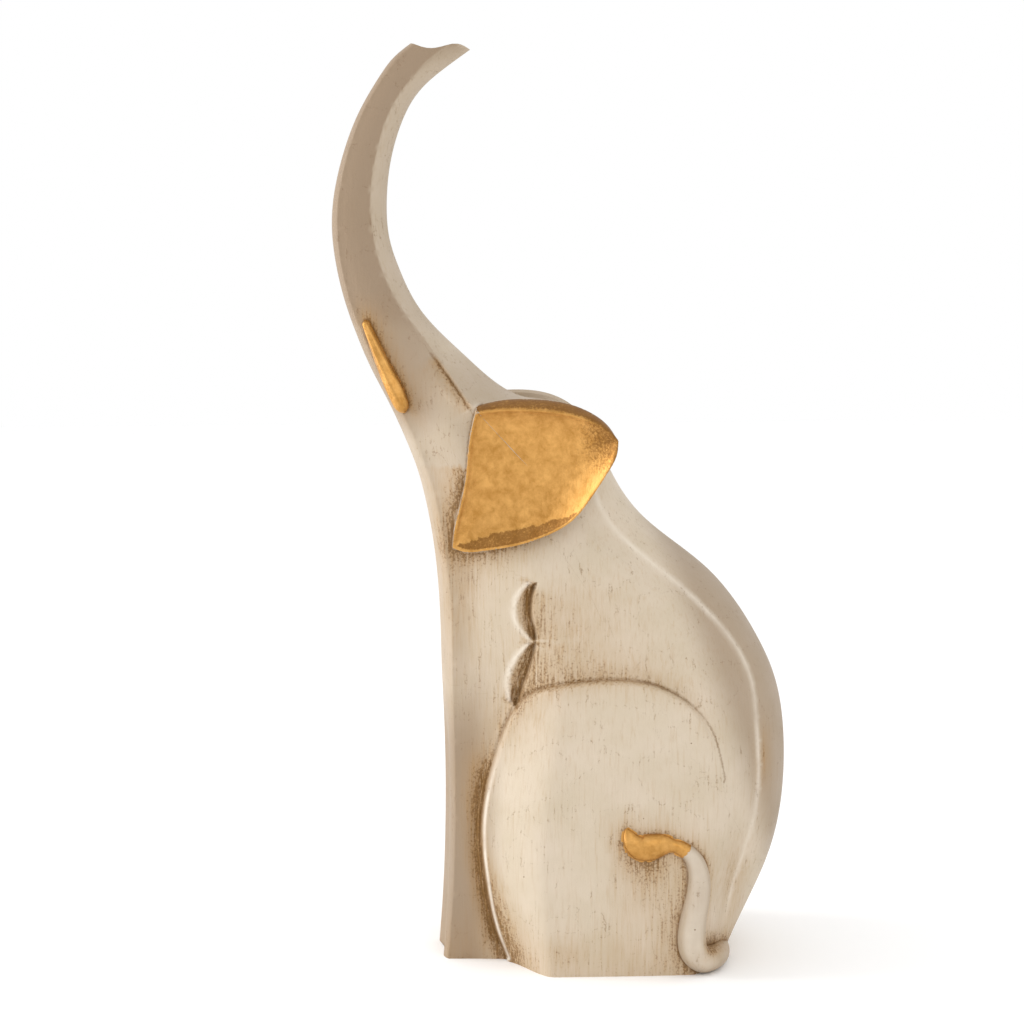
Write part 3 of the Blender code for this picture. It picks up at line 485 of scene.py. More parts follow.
class Ear:
    """The left ear: a dished plate on a slanted plane. Its outline is three splines; a ring
    is the outline drawn in towards the centre by a share."""

    def __init__(self):
        corners = np.array([[*EAR_TOP[0], 1.0], [*EAR_ROOT[0], 1.0], [*EAR_TOP[-1], 1.0]])
        self.plane = np.linalg.solve(corners, [EAR_ROOT_TOP * SIDE, EAR_ROOT_LOW * SIDE, EAR_SPREAD / 2.0])
        splines = zip((EAR_TOP, EAR_REAR, EAR_ROOT), EAR_POINTS)
        self.edges = [through(line, count)[:-1] for line, count in splines]
        self.outline = np.concatenate(self.edges)
        self.centre = np.array(EAR_CENTRE)

    def rim(self, place):
        """Half-width of the slanted plane through the ear's three corners."""
        return place @ self.plane[:2] + self.plane[2]

    def shape(self, bevel):
        """Rings: the outer edge and the slope up to the lip, 22 rings down into the dish (depth
        is the hollow times 1 - share^3.2), then 12 rings out over the swollen back (depth is the
        bulge times 1 - share^2) to a rounded hem. Both sides end in a single middle point."""
        outline, centre = self.outline, self.centre
        top = np.zeros(len(outline))
        top[:len(self.edges[0])] = np.sin(np.linspace(0.10, 1.0, len(self.edges[0])) * np.pi) ** 0.5
        lip = outline - np.stack([np.zeros_like(top), bevel / UNIT * 0.82 * top], 1)
        lean = bevel * 1.15 * top
        rings = [np.column_stack([outline * UNIT, self.rim(outline) - lean - EAR_EDGE_INSET])]
        for share in np.linspace(0.25, 0.75, 3):
            ring = outline + (lip - outline) * share
            inset = EAR_EDGE_INSET * (1.0 - share) ** 2
            rings.append(np.column_stack([ring * UNIT, self.rim(ring) - lean * (1.0 - share) - inset]))
        for share in 1.0 - 0.96 * np.linspace(0.0, 1.0, 22) ** 1.5:
            ring = centre + (lip - centre) * share * 0.99
            dish = EAR_HOLLOW * (1.0 - share ** 3.2) * smooth((1.0 - share) / 0.05) ** 0.5
            rings.append(np.column_stack([ring * UNIT, self.rim(ring) - dish]))
        dished = len(rings)
        for share in np.concatenate([np.linspace(0.05, 0.9, 9), [0.96, 0.99, 1.0]]):
            ring = centre + (outline - centre) * share
            behind = EAR_THICKNESS + EAR_BACK_BULGE * (1.0 - share ** 2)
            behind = behind + bevel * 0.6 * top * (share > 0.95)
            behind = behind - EAR_BACK_ROUND * smooth((share - 0.9) / 0.1)
            rings.append(np.column_stack([ring * UNIT, self.rim(ring) - behind]))
        middle = self.rim(centre)
        tips = [[*centre * UNIT, middle - EAR_HOLLOW],
                [*centre * UNIT, middle - EAR_THICKNESS - EAR_BACK_BULGE]]
        points = np.concatenate([*rings, tips])
        points = np.column_stack([points[:, 0], -points[:, 2], points[:, 1]])
        count, total = len(outline), len(rings)
        front = grid_faces(dished, count)
        behind = grid_faces(total - dished, count) + dished * count
        hem = grid_faces(2, count)
        hem = np.where(hem >= count, hem - count, hem + (total - 1) * count)
        caps = [fan((dished - 1) * count, count, total * count),
                fan(dished * count, count, total * count + 1)]
        return points, np.concatenate([front, behind, hem, *caps])


def swept(axis, radius_side, radius_out, sides, inside, flutes=0.0):
    """A tube along axis (x, y, z): each ring is an ellipse, radius_out deep away from the
    upright line through inside, radius_side wide across that, its radius waving by flutes
    as a cosine. A single point closes each end."""
    along = np.gradient(axis, axis=0)
    along /= np.linalg.norm(along, axis=1)[:, None]
    out = axis - np.array([*inside, 0.0])
    out[:, 2] = 0.0
    out -= (out * along).sum(1)[:, None] * along
    out /= np.linalg.norm(out, axis=1)[:, None]
    wide = np.cross(along, out)
    turn = np.arange(sides) * 2.0 * np.pi / sides
    wave = 1.0 + flutes * np.cos(FLUTES * turn)
    ring = (wide[:, None, :] * (np.cos(turn) * wave)[None, :, None] * radius_side[:, None, None]
            + out[:, None, :] * (np.sin(turn) * wave)[None, :, None] * radius_out[:, None, None])
    points = (axis[:, None, :] + ring).reshape(-1, 3)
    faces = grid_faces(len(axis), sides)
    points = np.concatenate([points, [axis[0] - along[0] * radius_side[0] * 0.4],
                             [axis[-1] + along[-1] * radius_side[-1] * 0.4]])
    last = (len(axis) - 1) * sides
    caps = [fan(0, sides, len(points) - 2), fan(last, sides, len(points) - 1)]
    return points, np.concatenate([faces, *caps])


def tusk_shape():
    """A half-round fluted horn along the cheek, narrow above and blunt below: its radius
    rises along the spline of TUSK_RADIUS and closes at both ends as a quarter circle."""
    rows = through(np.column_stack([np.array(TUSK_AXIS) * UNIT, np.array(TUSK_DEPTH) * SIDE,
                                    np.array(TUSK_RADIUS) * UNIT]), TUSK_RINGS)
    share = np.linspace(0.0, 1.0, len(rows))
    close = np.sqrt(np.clip(1.0 - (1.0 - np.clip(share / 0.05, 0.0, 1.0)) ** 2, 0.04, 1.0))
    close *= np.sqrt(np.clip(1.0 - (1.0 - np.clip((1.0 - share) / 0.09, 0.0, 1.0)) ** 2, 0.04, 1.0))
    stand = TUSK_STAND * np.sqrt(rows[:, 3] / rows[:, 3].max()) * close
    axis = np.column_stack([rows[:, 0], -rows[:, 2], rows[:, 1]])
    inside = (TUSK_AXIS[2][0] * UNIT, 0.0)
    return swept(axis, rows[:, 3] * close, stand, TUSK_SIDES, inside, FLUTE_DEPTH)


def tail_shape():
    """A round tube that tapers, then a leaf whose half-width is the sine of the way along it,
    to the power 0.8, swept along the spline of the tail's axis."""
    path = through(np.array(TAIL_AXIS), TAIL_RINGS)
    share = np.linspace(0.0, 1.0, TAIL_RINGS)
    knots, sizes = np.transpose(TAIL_TAPER)
    radius = TAIL_DIAMETER / 2.0 * spline(knots, sizes[:, None], share)[:, 0]
    tuft = np.clip((share - TUFT_START) / (1.0 - TUFT_START), 0.0, 1.0)
    leaf = np.sin(np.pi * np.clip(tuft * 0.93 + 0.04, 0.0, 1.0)) ** 0.8
    blend = smooth(tuft / 0.2)
    across = radius * (1.0 - blend) + np.maximum(TUFT_WIDTH / 2.0 * leaf, LEAST_RADIUS) * blend
    out = radius * (1.0 - blend) + np.maximum(TUFT_THICKNESS / 2.0 * leaf, LEAST_RADIUS) * blend
    axis = np.column_stack([path[:, 0] * UNIT, -path[:, 2] * SIDE, path[:, 1] * UNIT])
    axis[:, 2] = np.maximum(axis[:, 2], across + GROUND_GAP)
    return swept(axis, across, out, TAIL_SIDES, (TAIL_MIDDLE * UNIT, 0.0))


def mirrored(points, faces):
    """The shape and its mirror image across the middle plane."""
    both = np.concatenate([points, points * np.array([1.0, -1.0, 1.0])])
    return both, np.concatenate([faces, faces[:, ::-1] + len(points)])


def solid(name, points, faces, finish):
    """A mesh object of the points and faces, doubles merged and faces turned outwards."""
    mesh = bpy.data.meshes.new(name)
    mesh.from_pydata(points.tolist(), [], faces.tolist())
    work = bmesh.new()
    work.from_mesh(mesh)
    bmesh.ops.remove_doubles(work, verts=work.verts, dist=1e-6)
    bmesh.ops.dissolve_degenerate(work, edges=work.edges, dist=1e-6)
    bmesh.ops.recalc_face_normals(work, faces=work.faces)
    work.to_mesh(mesh)
    work.free()
    mesh.materials.append(finish)
    made = bpy.data.objects.new(name, mesh)
    bpy.context.scene.collection.objects.link(made)
    return made


def united(body, parts):
    """The body joined with its parts by Boolean unions, all of them applied."""
    for part in parts:
        union = body.modifiers.new("Join " + part.name, "BOOLEAN")
        union.operation = "UNION"
        union.object = part
        union.material_mode = "TRANSFER"
    seen = body.evaluated_get(bpy.context.evaluated_depsgraph_get())
    mesh = bpy.data.meshes.new_from_object(seen)
    if not mesh.polygons:
        raise RuntimeError("The parts of the casting didn't join.")
    body.modifiers.clear()
    body.data = mesh
    for part in parts:
        bpy.data.objects.remove(part)
    return body


def outside(outline, x, z):
    """Signed distance to a closed outline, + outside: the distance to its nearest side, with
    the sign from the even-odd rule."""
    ring = np.vstack([outline, outline[:1]])
    distance = np.abs(nearest_on(ring, x, z)[0])
    within = np.zeros(len(x), bool)
    for (x0, z0), (x1, z1) in zip(ring[:-1], ring[1:]):
        if z0 != z1:
            within ^= ((z0 > z) != (z1 > z)) & (x < (x1 - x0) * (z - z0) / (z1 - z0) + x0)
    return np.where(within, -distance, distance)


def junction_distance(points, border, chunk=4000):
    """Distance in millimetres from each point to the nearest border point, 12 at the most:
    the least length over all pairs, for a stretch of the points at a time."""
    most = JOINT_REACH / MM
    reach = np.full(len(points), most)
    for low in range(0, len(points), chunk):
        part = points[low:low + chunk]
        near = border[((border > part.min(0) - JOINT_REACH) & (border < part.max(0) + JOINT_REACH)).all(1)]
        if len(near):
            squares = (part ** 2).sum(1)[:, None] + (near ** 2).sum(1)[None, :]
            gap = (squares - 2.0 * part @ near.T).min(1)
            reach[low:low + chunk] = np.minimum(np.sqrt(np.maximum(gap, 0.0)) / MM, most)
    return reach


class Surface:
    """What the painter needs to know of the finished mesh, one value for each point."""

    def __init__(self, mesh, skin, ear):
        count = len(mesh.vertices)
        self.point = np.empty(count * 3)
        mesh.vertices.foreach_get("co", self.point)
        self.point = self.point.reshape(-1, 3)
        normal = np.empty(count * 3)
        mesh.vertices.foreach_get("normal", normal)
        self.normal = normal.reshape(-1, 3)
        self.x = self.point[:, 0] / UNIT
        self.z = self.point[:, 2] / UNIT
        self.width = np.abs(self.point[:, 1])
        self.outward = self.normal[:, 1] * np.sign(self.point[:, 1])
        self.on_left = self.point[:, 1] < 0.0
        self.part = self.parts_of(mesh, count)
        order = np.argsort(self.point[:, 2], kind="stable")
        border = self.point[self.part.sum(1) > 1]
        self.edge = np.empty(count)
        self.edge[order] = junction_distance(self.point[order], border)
        self.haunch, self.haunch_along = nearest_on(skin.haunch, self.x, self.z)
        folds = [nearest_on(line, self.x, self.z) for line, _ in skin.folds]
        upper = np.abs(folds[0][0]) < np.abs(folds[1][0])
        self.fold = np.where(upper, folds[0][0], folds[1][0])
        self.fold_along = np.where(upper, folds[0][1], folds[1][1])
        self.upper_fold = upper
        self.brow, self.brow_along = nearest_on(skin.brow, self.x, self.z)
        self.ear_outside = outside(ear.outline, self.x, self.z)
        self.ear_plane = ear.rim(np.stack([self.x, self.z], 1))

    @staticmethod
    def parts_of(mesh, count):
        """Which of body, ears, tusks and tail the faces at each point came from."""
        loops = np.empty(len(mesh.loops), int)
        mesh.loops.foreach_get("vertex_index", loops)
        total = np.empty(len(mesh.polygons), int)
        mesh.polygons.foreach_get("loop_total", total)
        slot = np.empty(len(mesh.polygons), int)
        mesh.polygons.foreach_get("material_index", slot)
        part = np.zeros((count, 4), bool)
        part[loops, np.repeat(slot, total)] = True
        return part


def gilding(face, tail_line):
    """Signed distance in millimetres from the edge of the gold, + on the gold: on an ear from
    its outline where the face looks outwards, on a tusk from the joint with the cheek, and on
    the tail along it from the start of the tuft."""
    gold = np.full(len(face.x), -4.0)
    ear = face.part[:, 1]
    turned_away = -1.0 - 3.0 * (face.outward < -0.2)
    gold[ear] = np.where(face.outward > 0.10, 0.25 - face.ear_outside, turned_away)[ear]
    cheek = face.part[:, 0] & (np.abs(face.width - face.ear_plane) < 0.004) & (face.outward > 0.3)
    gold[cheek] = np.maximum(gold[cheek], -0.15 - np.maximum(face.edge[cheek], 0.0))
    tusk = face.part[:, 2]
    gold[tusk] = np.minimum(0.2 + face.edge[tusk], 4.0)
    tail = face.part[:, 3]
    _, along = nearest_on(tail_line, face.x[tail], face.z[tail])
    gold[tail] = np.clip((along - TAIL_GOLD) * 70.0, -4.0, 4.0)
    return np.clip(gold, -4.0, 4.0)


def patch(face, x, z, half_width, half_height):
    """An oval of wash in the side view: a bell across times a bell up."""
    return bump(face.x - x, half_width) * bump(face.z - z, half_height)


def line_wash(face):
    """Wash left along the carved lines: bells and exponentials of the distance to each, on
    the side where it lies, times fades at the ends."""
    inside = -face.haunch
    leg = smooth((LEG_SHARE + 0.03 - face.haunch_along) / 0.10)
    arc = smooth((face.haunch_along - LEG_SHARE + 0.04) / 0.08) * smooth((1.0 - face.haunch_along) / 0.35)
    low = smooth((60.0 - face.z) / 50.0)
    left_band = np.where(inside < 0.0, bump(inside, 5.0 + 3.4 * smooth((face.z - 40.0) / 50.0)), 0.0)
    right_band = np.where(inside >= 0.0, bump(inside, 1.5 + 6.0 * low), 0.0)
    above = np.where(inside < 0.0, np.exp(-np.abs(inside) / 7.0), np.exp(-inside / 2.2))
    width = np.where(face.upper_fold, UPPER_FOLD_WIDTH, LOWER_FOLD_WIDTH)
    ends = smooth(face.fold_along / 0.06) * smooth((1.0 - face.fold_along) / 0.06)
    leaf = smooth(1.0 + face.fold / width) * (face.fold < 0.0)
    beside = np.exp(-np.maximum(face.fold, 0.0) / 9.0) * (face.fold >= 0.0)
    brow_ends = smooth(face.brow_along / 0.15) * smooth((1.0 - face.brow_along) / 0.05 + 0.3)
    brow = np.where(face.brow < 0.0, np.exp(face.brow / 3.0), bump(face.brow, 0.8))
    return [leg * left_band, (0.45 + 0.50 * low) * leg * right_band, 0.60 * arc * above,
            (0.35 + 0.55 * leaf) * ends * (leaf > 0.0), 0.50 * beside * smooth(face.fold_along / 0.2),
            0.75 * brow_ends * brow]


def joint_wash_and_shadow(face):
    """Wash left beside the tusk, wash with painted shadow under the ear and round the tail, and
    painted shade on the tail's sides: exponentials of the distance to the ear's outline or to the joint."""
    under_ear = (face.z < EAR_CENTRE[1]) & (face.ear_outside > -1.0)
    to_front = smooth((8.0 - face.x) / 45.0)
    # painted shadow under the ear's lower rim, laid with the wash
    hem = np.exp(-np.maximum(face.ear_outside, 0.0) / (2.4 + 4.0 * to_front))
    tusk_zone = (face.x < -52.0) & (face.z > 205.0) & (face.z < 256.0)
    behind_tusk = 0.35 + 0.65 * smooth((face.x + 0.52 * face.z - 48.5) / 4.0)
    # painted shadow of the tail on the body round it and in the hollow of its curl, with wash
    tail_zone = face.on_left & (face.x > 8.0) & (face.z < 75.0) & (face.width > 0.020)
    below_tuft = (face.z < 52.0) & (face.x < 44.0) & (face.x > 12.0)
    run = np.where(below_tuft, 6.0, 3.4)
    drip = bump(face.x - 27.0, 9.0) * smooth((46.0 - face.z) / 3.0) * smooth((face.z - 12.0) / 30.0)
    nook = patch(face, *TAIL_NOOK[:4]) * (face.width > 0.025) * face.on_left
    # painted shade on the tail where it turns away from the side
    under_tail = smooth((face.x - 30.0) / 20.0) * smooth((0.6 - face.outward) / 0.6)
    return [under_ear * (0.35 + 0.65 * to_front) * hem,
            0.85 * tusk_zone * behind_tusk * np.exp(-face.edge / 3.2),
            0.80 * tail_zone * np.exp(-face.edge / run) * face.part[:, 0],
            0.45 * tail_zone * drip, TAIL_NOOK[4] * nook, 0.25 * face.part[:, 3] * under_tail]


def wash_and_shadow(face):
    """Amount of brown wash with painted shadow, 0 to 1: 1 minus the product of what each place
    leaves bare. None lies on the gold of the ears, and less on the middle strip of the body."""
    amounts = line_wash(face) + joint_wash_and_shadow(face)
    amounts += [oval[4] * patch(face, *oval[:4]) for oval in WASH_PATCHES]
    # darker towards the bottom of the body
    amounts.append(0.22 * smooth((26.0 - face.z) / 26.0) * face.part[:, 0])
    belly = smooth((face.z - 100.0) / 20.0) * smooth((158.0 - face.z) / 20.0)
    amounts.append(0.26 * belly * bump(face.x + 2.0, 22.0))
    total = 1.0 - np.prod([1.0 - 0.95 * np.clip(amount, 0.0, 1.0) for amount in amounts], axis=0)
    total = np.where(face.part[:, 1] & (face.outward > 0.0), 0.0, total)
    skin_side = face.part[:, 0] & ~(face.width < 0.010)
    return np.where(skin_side | (face.edge < 6.0), total, total * 0.6)


def glaze_and_shade(face):
    """Amount of the thin olive brown glaze, 0 to 1, which also paints shade on the parts turned
    from the light: the largest of its amounts on trunk, front leg, head, chest, rear, neck, ears
    and tail, less the trunk's inner strip, painted lighter where it faces the light. Each is a
    smooth step across the side view."""
    trunk = smooth((face.z - 222.0) / 28.0)
    leg = smooth((-24.0 - face.x) / 14.0) * smooth((130.0 - face.z) / 50.0)
    head = smooth((-30.0 - face.x) / 30.0) * smooth((face.z - 185.0) / 30.0)
    chest = smooth((-32.0 - face.x) / 10.0)
    rear = smooth((face.x + 0.35 * face.z - 84.0) / 16.0) * (face.z < 190.0)
    neck = smooth((face.z - 200.0) / 20.0)
    # painted highlight: the trunk's inner strip gets less glaze where its normal faces +X, towards the light
    painted_light_inner_strip = 0.55 * trunk * smooth((face.normal[:, 0] - 0.25) / 0.3)
    amount = np.max([0.95 * trunk, 0.85 * leg, 0.80 * head, 0.40 * chest, 0.70 * rear, 0.45 * neck,
                     0.45 * face.part[:, 1], 0.45 * face.part[:, 3]], axis=0)
    return np.clip(amount - painted_light_inner_strip, 0.0, 1.0)


def rubbed_and_highlight(face, skin):
    """Where the coat was wiped back to pale cream and a highlight is painted on, 0 to 1: bells of
    the distance to the ridge along the back, to the leaves' outer edges and to the lip beside the
    leg, and the crown of the tail, a painted highlight alone, where it faces outwards."""
    row = spline(skin.knots, skin.table, np.linspace(0.02, skin.neck, 160))
    ridge = row[:, 0:2] + row[:, 8:9] * (row[:, 2:4] - row[:, 0:2])
    distance, along = nearest_on(ridge, face.x, face.z)
    # the ridge, the leaves' outer edges and the lip are wiped back and also painted as highlights
    crest = bump(distance - 0.2, 1.0) * smooth(along / 0.1) * smooth((face.width - 0.015) / 0.008)
    fold_edge = np.where(face.upper_fold, UPPER_FOLD_WIDTH, LOWER_FOLD_WIDTH) * leaf_form(face.fold_along)
    fold_ends = smooth(face.fold_along / LINE_END_FADE) * smooth((1.0 - face.fold_along) / LINE_END_FADE)
    leaf = 0.55 * bump(face.fold + fold_edge + 0.8, 1.1) * fold_ends
    lip = 0.7 * bump(face.haunch + LIP_PLACE, 0.5) * smooth((LEG_SHARE - face.haunch_along) / 0.08)
    # painted highlight on the tail, where its surface faces outwards
    tail = 0.30 * face.part[:, 3] * smooth((face.outward - 0.55) / 0.4)
    return np.clip(np.max([0.45 * crest, leaf, lip, tail], axis=0), 0.0, 1.0)


def paint(mesh, skin, ear):
    """Stores three vectors at each point. cuts_mm: signed distances to the haunch line, the
    fold creases and the brow crease. coat: wash with painted shadow, glaze with painted shade,
    wiped cream with painted highlight. leaf_mm: signed distance from the gold's edge, distance
    to the nearest joint, and painted shade of the gold."""
    face = Surface(mesh, skin, ear)
    haunch = np.clip(-face.haunch, -NO_CUT, NO_CUT) + 1.2 * smooth((face.haunch_along - 0.80) / 0.12)
    on_fold = (face.fold_along > 0.01) & (face.fold_along < 0.99) | (np.abs(face.fold) < 0.3)
    fold = np.where(on_fold, np.clip(face.fold, -NO_CUT, NO_CUT), NO_CUT)
    cuts = np.stack([haunch, fold, np.clip(face.brow, -NO_CUT, NO_CUT)], 1)
    cuts[~face.part[:, 0]] = NO_CUT
    coat = np.stack([wash_and_shadow(face), glaze_and_shade(face), rubbed_and_highlight(face, skin)], 1)
    # painted shade on the ear's gold, where its faces look upwards and towards its tip
    top_band = face.part[:, 1] & (face.normal[:, 2] > 0.30) & (face.outward < 0.93)
    tip = smooth((face.x + 6.0) / 18.0) * smooth((face.z - 180.0) / 22.0)
    shade = np.where(face.part[:, 1], np.clip(0.85 * top_band + 0.75 * tip, 0.0, 1.0), 0.0)
    leaf = np.stack([gilding(face, skin.tail), face.edge, shade], 1)
    for name, values in zip(PAINTED, (cuts, coat, leaf)):
        attribute = mesh.attributes.new(name, "FLOAT_VECTOR", "POINT")
        attribute.data.foreach_set("vector", values.astype(np.float32).ravel())


def linear(code):
    """Linear red, green and blue of an sRGB hex colour."""
    part = np.array([int(code[k:k + 2], 16) for k in (1, 3, 5)]) / 255.0
    light = np.where(part <= 0.04045, part / 12.92, ((part + 0.055) / 1.055) ** 2.4)
    return tuple(light.tolist())


def add_node(tree, kind, inputs, **settings):
    """Adds a node. Settings are its properties. Inputs are its sockets by name or number:
    each gets a value, a link from a socket, or a link from a node's first output in use."""
    node = tree.nodes.new("ShaderNode" + kind)
    for name, value in settings.items():
        setattr(node, name, value)
    for name, value in inputs.items():
        if isinstance(value, bpy.types.Node):
            value = next(out for out in value.outputs if out.enabled)
        if isinstance(value, bpy.types.NodeSocket):
            tree.links.new(value, node.inputs[name])
        else:
            node.inputs[name].default_value = value
    return node


def settled_umber(add, cuts, joint, grain, cloud):
    """Umber in the cuts: a line about 0.8 mm wide on each carved line and joint, shifted by
    the grain and broken by the cloud."""
    dark = None
    wobble = add("MapRange", {"Value": grain, "From Min": 0.3, "From Max": 0.7,
                              "To Min": -0.35, "To Max": 0.35})
    for distance, width, strength in ((cuts[0], 0.42, 0.80), (cuts[1], 0.50, 0.95),
                                      (cuts[2], 0.55, 0.80), (joint, 0.55, 0.65)):
        shifted = add("Math", {0: distance, 1: wobble}, operation="ADD")
        away = add("Math", {0: shifted}, operation="ABSOLUTE")
        line = add("MapRange", {"Value": away, "From Min": 0.0, "From Max": width * 1.7,
                                "To Min": strength, "To Max": 0.0},
                   interpolation_type="SMOOTHSTEP")
        dark = line if dark is None else add("Math", {0: dark, 1: line}, operation="MAXIMUM")
    broken = add("MapRange", {"Value": cloud, "From Min": 0.35, "From Max": 0.60,
                              "To Min": 0.20, "To Max": 0.85})
    return add("Math", {0: dark, 1: broken}, operation="MULTIPLY")


def flaws(add, mm, cloud, streak):
    """Pinholes of the casting, about 0.5 mm across, in one of four cells 9 mm wide, and hair
    cracks of the paint, on the bent edges of cells 17 mm wide, only in patches."""
    cell = add("TexVoronoi", {"Vector": mm, "Scale": 1.0 / 9.0})
    hue = add("SeparateColor", {0: cell.outputs["Color"]})
    chosen = add("Math", {0: hue, 1: 0.76}, operation="GREATER_THAN")
    hole = add("MapRange", {"Value": cell.outputs["Distance"], "From Min": 0.020, "From Max": 0.038,
                            "To Min": 0.85, "To Max": 0.0},
               interpolation_type="SMOOTHSTEP")
    pit = add("Math", {0: hole, 1: chosen}, operation="MULTIPLY")
    bent = add("VectorMath", {0: cloud.outputs["Color"], 1: (26.0, 26.0, 26.0), 2: mm},
               operation="MULTIPLY_ADD")
    web = add("TexVoronoi", {"Vector": bent, "Scale": 1.0 / 17.0}, feature="DISTANCE_TO_EDGE")
    hair = add("MapRange", {"Value": web, "From Min": 0.004, "From Max": 0.016,
                            "To Min": 0.42, "To Max": 0.0})
    in_patches = add("MapRange", {"Value": streak, "From Min": 0.50, "From Max": 0.62})
    crack = add("Math", {0: hair, 1: in_patches}, operation="MULTIPLY")
    return add("Math", {0: pit, 1: crack}, operation="MAXIMUM")


def leaf_gold(add, finish, patches, grain, shade):
    """Colour of the gold leaf paint: two golds in patches, and painted shade, a dark brown in
    grains, towards the ear's tip and on its faces that look upwards, such as its top edge."""
    spread = add("MapRange", {"Value": patches, "From Min": 0.34, "From Max": 0.66})
    gold = add("Mix", {FACTOR: spread, FIRST: (*finish.gold_deep, 1.0), SECOND: (*finish.gold, 1.0)},
               data_type="RGBA")
    shade_in_grains = add("Math", {0: shade, 1: 0.60, 2: grain}, operation="MULTIPLY_ADD")
    gold_shade_amount = add("MapRange", {"Value": shade_in_grains, "From Min": 0.62, "From Max": 1.05, "To Max": 0.75},
                  interpolation_type="SMOOTHSTEP")
    return add("Mix", {FACTOR: gold_shade_amount, FIRST: gold, SECOND: (*finish.gold_in_shade, 1.0)}, data_type="RGBA")


def antiqued_resin(finish):
    """Cast polyester resin, airbrushed ivory, then brushed with an umber wash and wiped, with
    gold leaf paint on ears, tusks and tuft. The eye gets a dry, chalky cream with brown left
    in every cut, in fine upright streaks, and warm mottled metal with a ragged hem. Shade,
    shadow and highlights are painted in as well, through the glaze, the wash, the wiped cream
    and the gold."""
    made = bpy.data.materials.new("antiqued_ivory_polyresin_with_gold_leaf")
    made.use_nodes = True
    made.node_tree.nodes.clear()
    add = partial(add_node, made.node_tree)
    place = add("TexCoord", {}).outputs["Object"]
    mm = add("VectorMath", {0: place, 1: (1.0 / MM,) * 3}, operation="MULTIPLY")
    stored = [add("Attribute", {}, attribute_name=name).outputs["Vector"] for name in PAINTED]
    cuts, coat, leaf = [add("SeparateXYZ", {0: vector}).outputs for vector in stored]

    # Upright brush streaks 0.9 mm apart and 14 mm long, coarser than real bristle marks to show
    combed = add("VectorMath", {0: mm, 1: (1.1, 1.1, 0.07)}, operation="MULTIPLY")
    streak = add("TexNoise", {"Vector": combed, "Scale": 1.0, "Detail": 4.0, "Roughness": 0.65})

    # Clouds of tone 16 mm wide, grains 0.9 mm wide and patches of leaf 5 mm wide
    cloud = add("TexNoise", {"Vector": mm, "Scale": 1.0 / 16.0, "Detail": 5.0, "Roughness": 0.6})
    grain = add("TexNoise", {"Vector": mm, "Scale": 1.0 / 0.9, "Detail": 3.0, "Roughness": 0.7})
    patches = add("TexNoise", {"Vector": mm, "Scale": 1.0 / 5.0, "Detail": 6.0, "Roughness": 0.7,
                               "Distortion": 0.2})

    # The wash and the painted shadow are soft ochre where much was left, broken into umber grains
    uneven = add("MapRange", {"Value": streak, "From Min": 0.30, "From Max": 0.70,
                              "To Min": 0.55, "To Max": 1.30})
    wash_and_shadow_left = add("Math", {0: coat[0], 1: uneven}, operation="MULTIPLY", use_clamp=True)
    grains = add("Math", {0: wash_and_shadow_left, 1: 0.55, 2: grain}, operation="MULTIPLY_ADD")
    speckle = add("MapRange", {"Value": grains, "From Min": 0.74, "From Max": 0.98, "To Max": finish.speckle},
                  interpolation_type="SMOOTHSTEP")
    soft = add("Math", {0: wash_and_shadow_left, 1: finish.wash_and_shadow_strength}, operation="MULTIPLY", use_clamp=True)
    thin = add("MapRange", {"Value": streak, "From Min": 0.52, "From Max": 0.72, "To Max": 0.22})

    # Ridges are wiped unevenly and carry a painted highlight, more where the coat is warm
    tone = add("MapRange", {"Value": cloud, "From Min": 0.32, "From Max": 0.68})
    wiped_and_highlight = add("Math", {0: coat[2], 1: tone}, operation="MULTIPLY")
    wiped_and_highlight = add("Math", {0: coat[2], 1: 0.55, 2: wiped_and_highlight}, operation="MULTIPLY_ADD", use_clamp=True)

    # The coats in the order in which they went on, each with how much of it covers; the glaze,
    # the wash and the wiped cream also paint shade, shadow and highlight
    flaw = flaws(add, mm, cloud, streak)
    dark = settled_umber(add, cuts, leaf[1], grain, cloud)
    resin = (*finish.ivory, 1.0)
    for cover, coating in ((tone, finish.ivory_warm), (thin, finish.ochre), (coat[1], finish.glaze_and_shade),
                           (soft, finish.ochre), (speckle, finish.umber), (wiped_and_highlight, finish.wiped_and_highlight),
                           (dark, finish.umber), (flaw, finish.umber)):
        resin = add("Mix", {FACTOR: cover, FIRST: resin, SECOND: (*coating, 1.0)}, data_type="RGBA")

    # The gold ends in a ragged hem: its edge is shifted by the grain, 0.55 mm in to 0.25 mm out
    frayed = add("MapRange", {"Value": grain, "From Min": 0.3, "From Max": 0.7,
                              "To Min": -0.55, "To Max": 0.25})
    reach = add("Math", {0: leaf[0], 1: frayed}, operation="ADD")
    gilt = add("MapRange", {"Value": reach, "From Min": -0.10, "From Max": 0.10},
               interpolation_type="SMOOTHSTEP")
    gold = leaf_gold(add, finish, patches, grain, leaf[2])
    tint = add("Mix", {FACTOR: gilt, FIRST: resin, SECOND: gold}, data_type="RGBA")
    metal = add("Math", {0: gilt, 1: finish.gold_metallic}, operation="MULTIPLY")
    chalky = add("MapRange", {"Value": cloud, "From Min": 0.3, "From Max": 0.7,
                              "To Min": 0.50, "To Max": 0.62})
    leafy = add("MapRange", {"Value": patches, "From Min": 0.3, "From Max": 0.7,
                             "To Min": 0.34, "To Max": 0.50})
    rough = add("Mix", {0: gilt, 2: chalky, 3: leafy}, data_type="FLOAT")

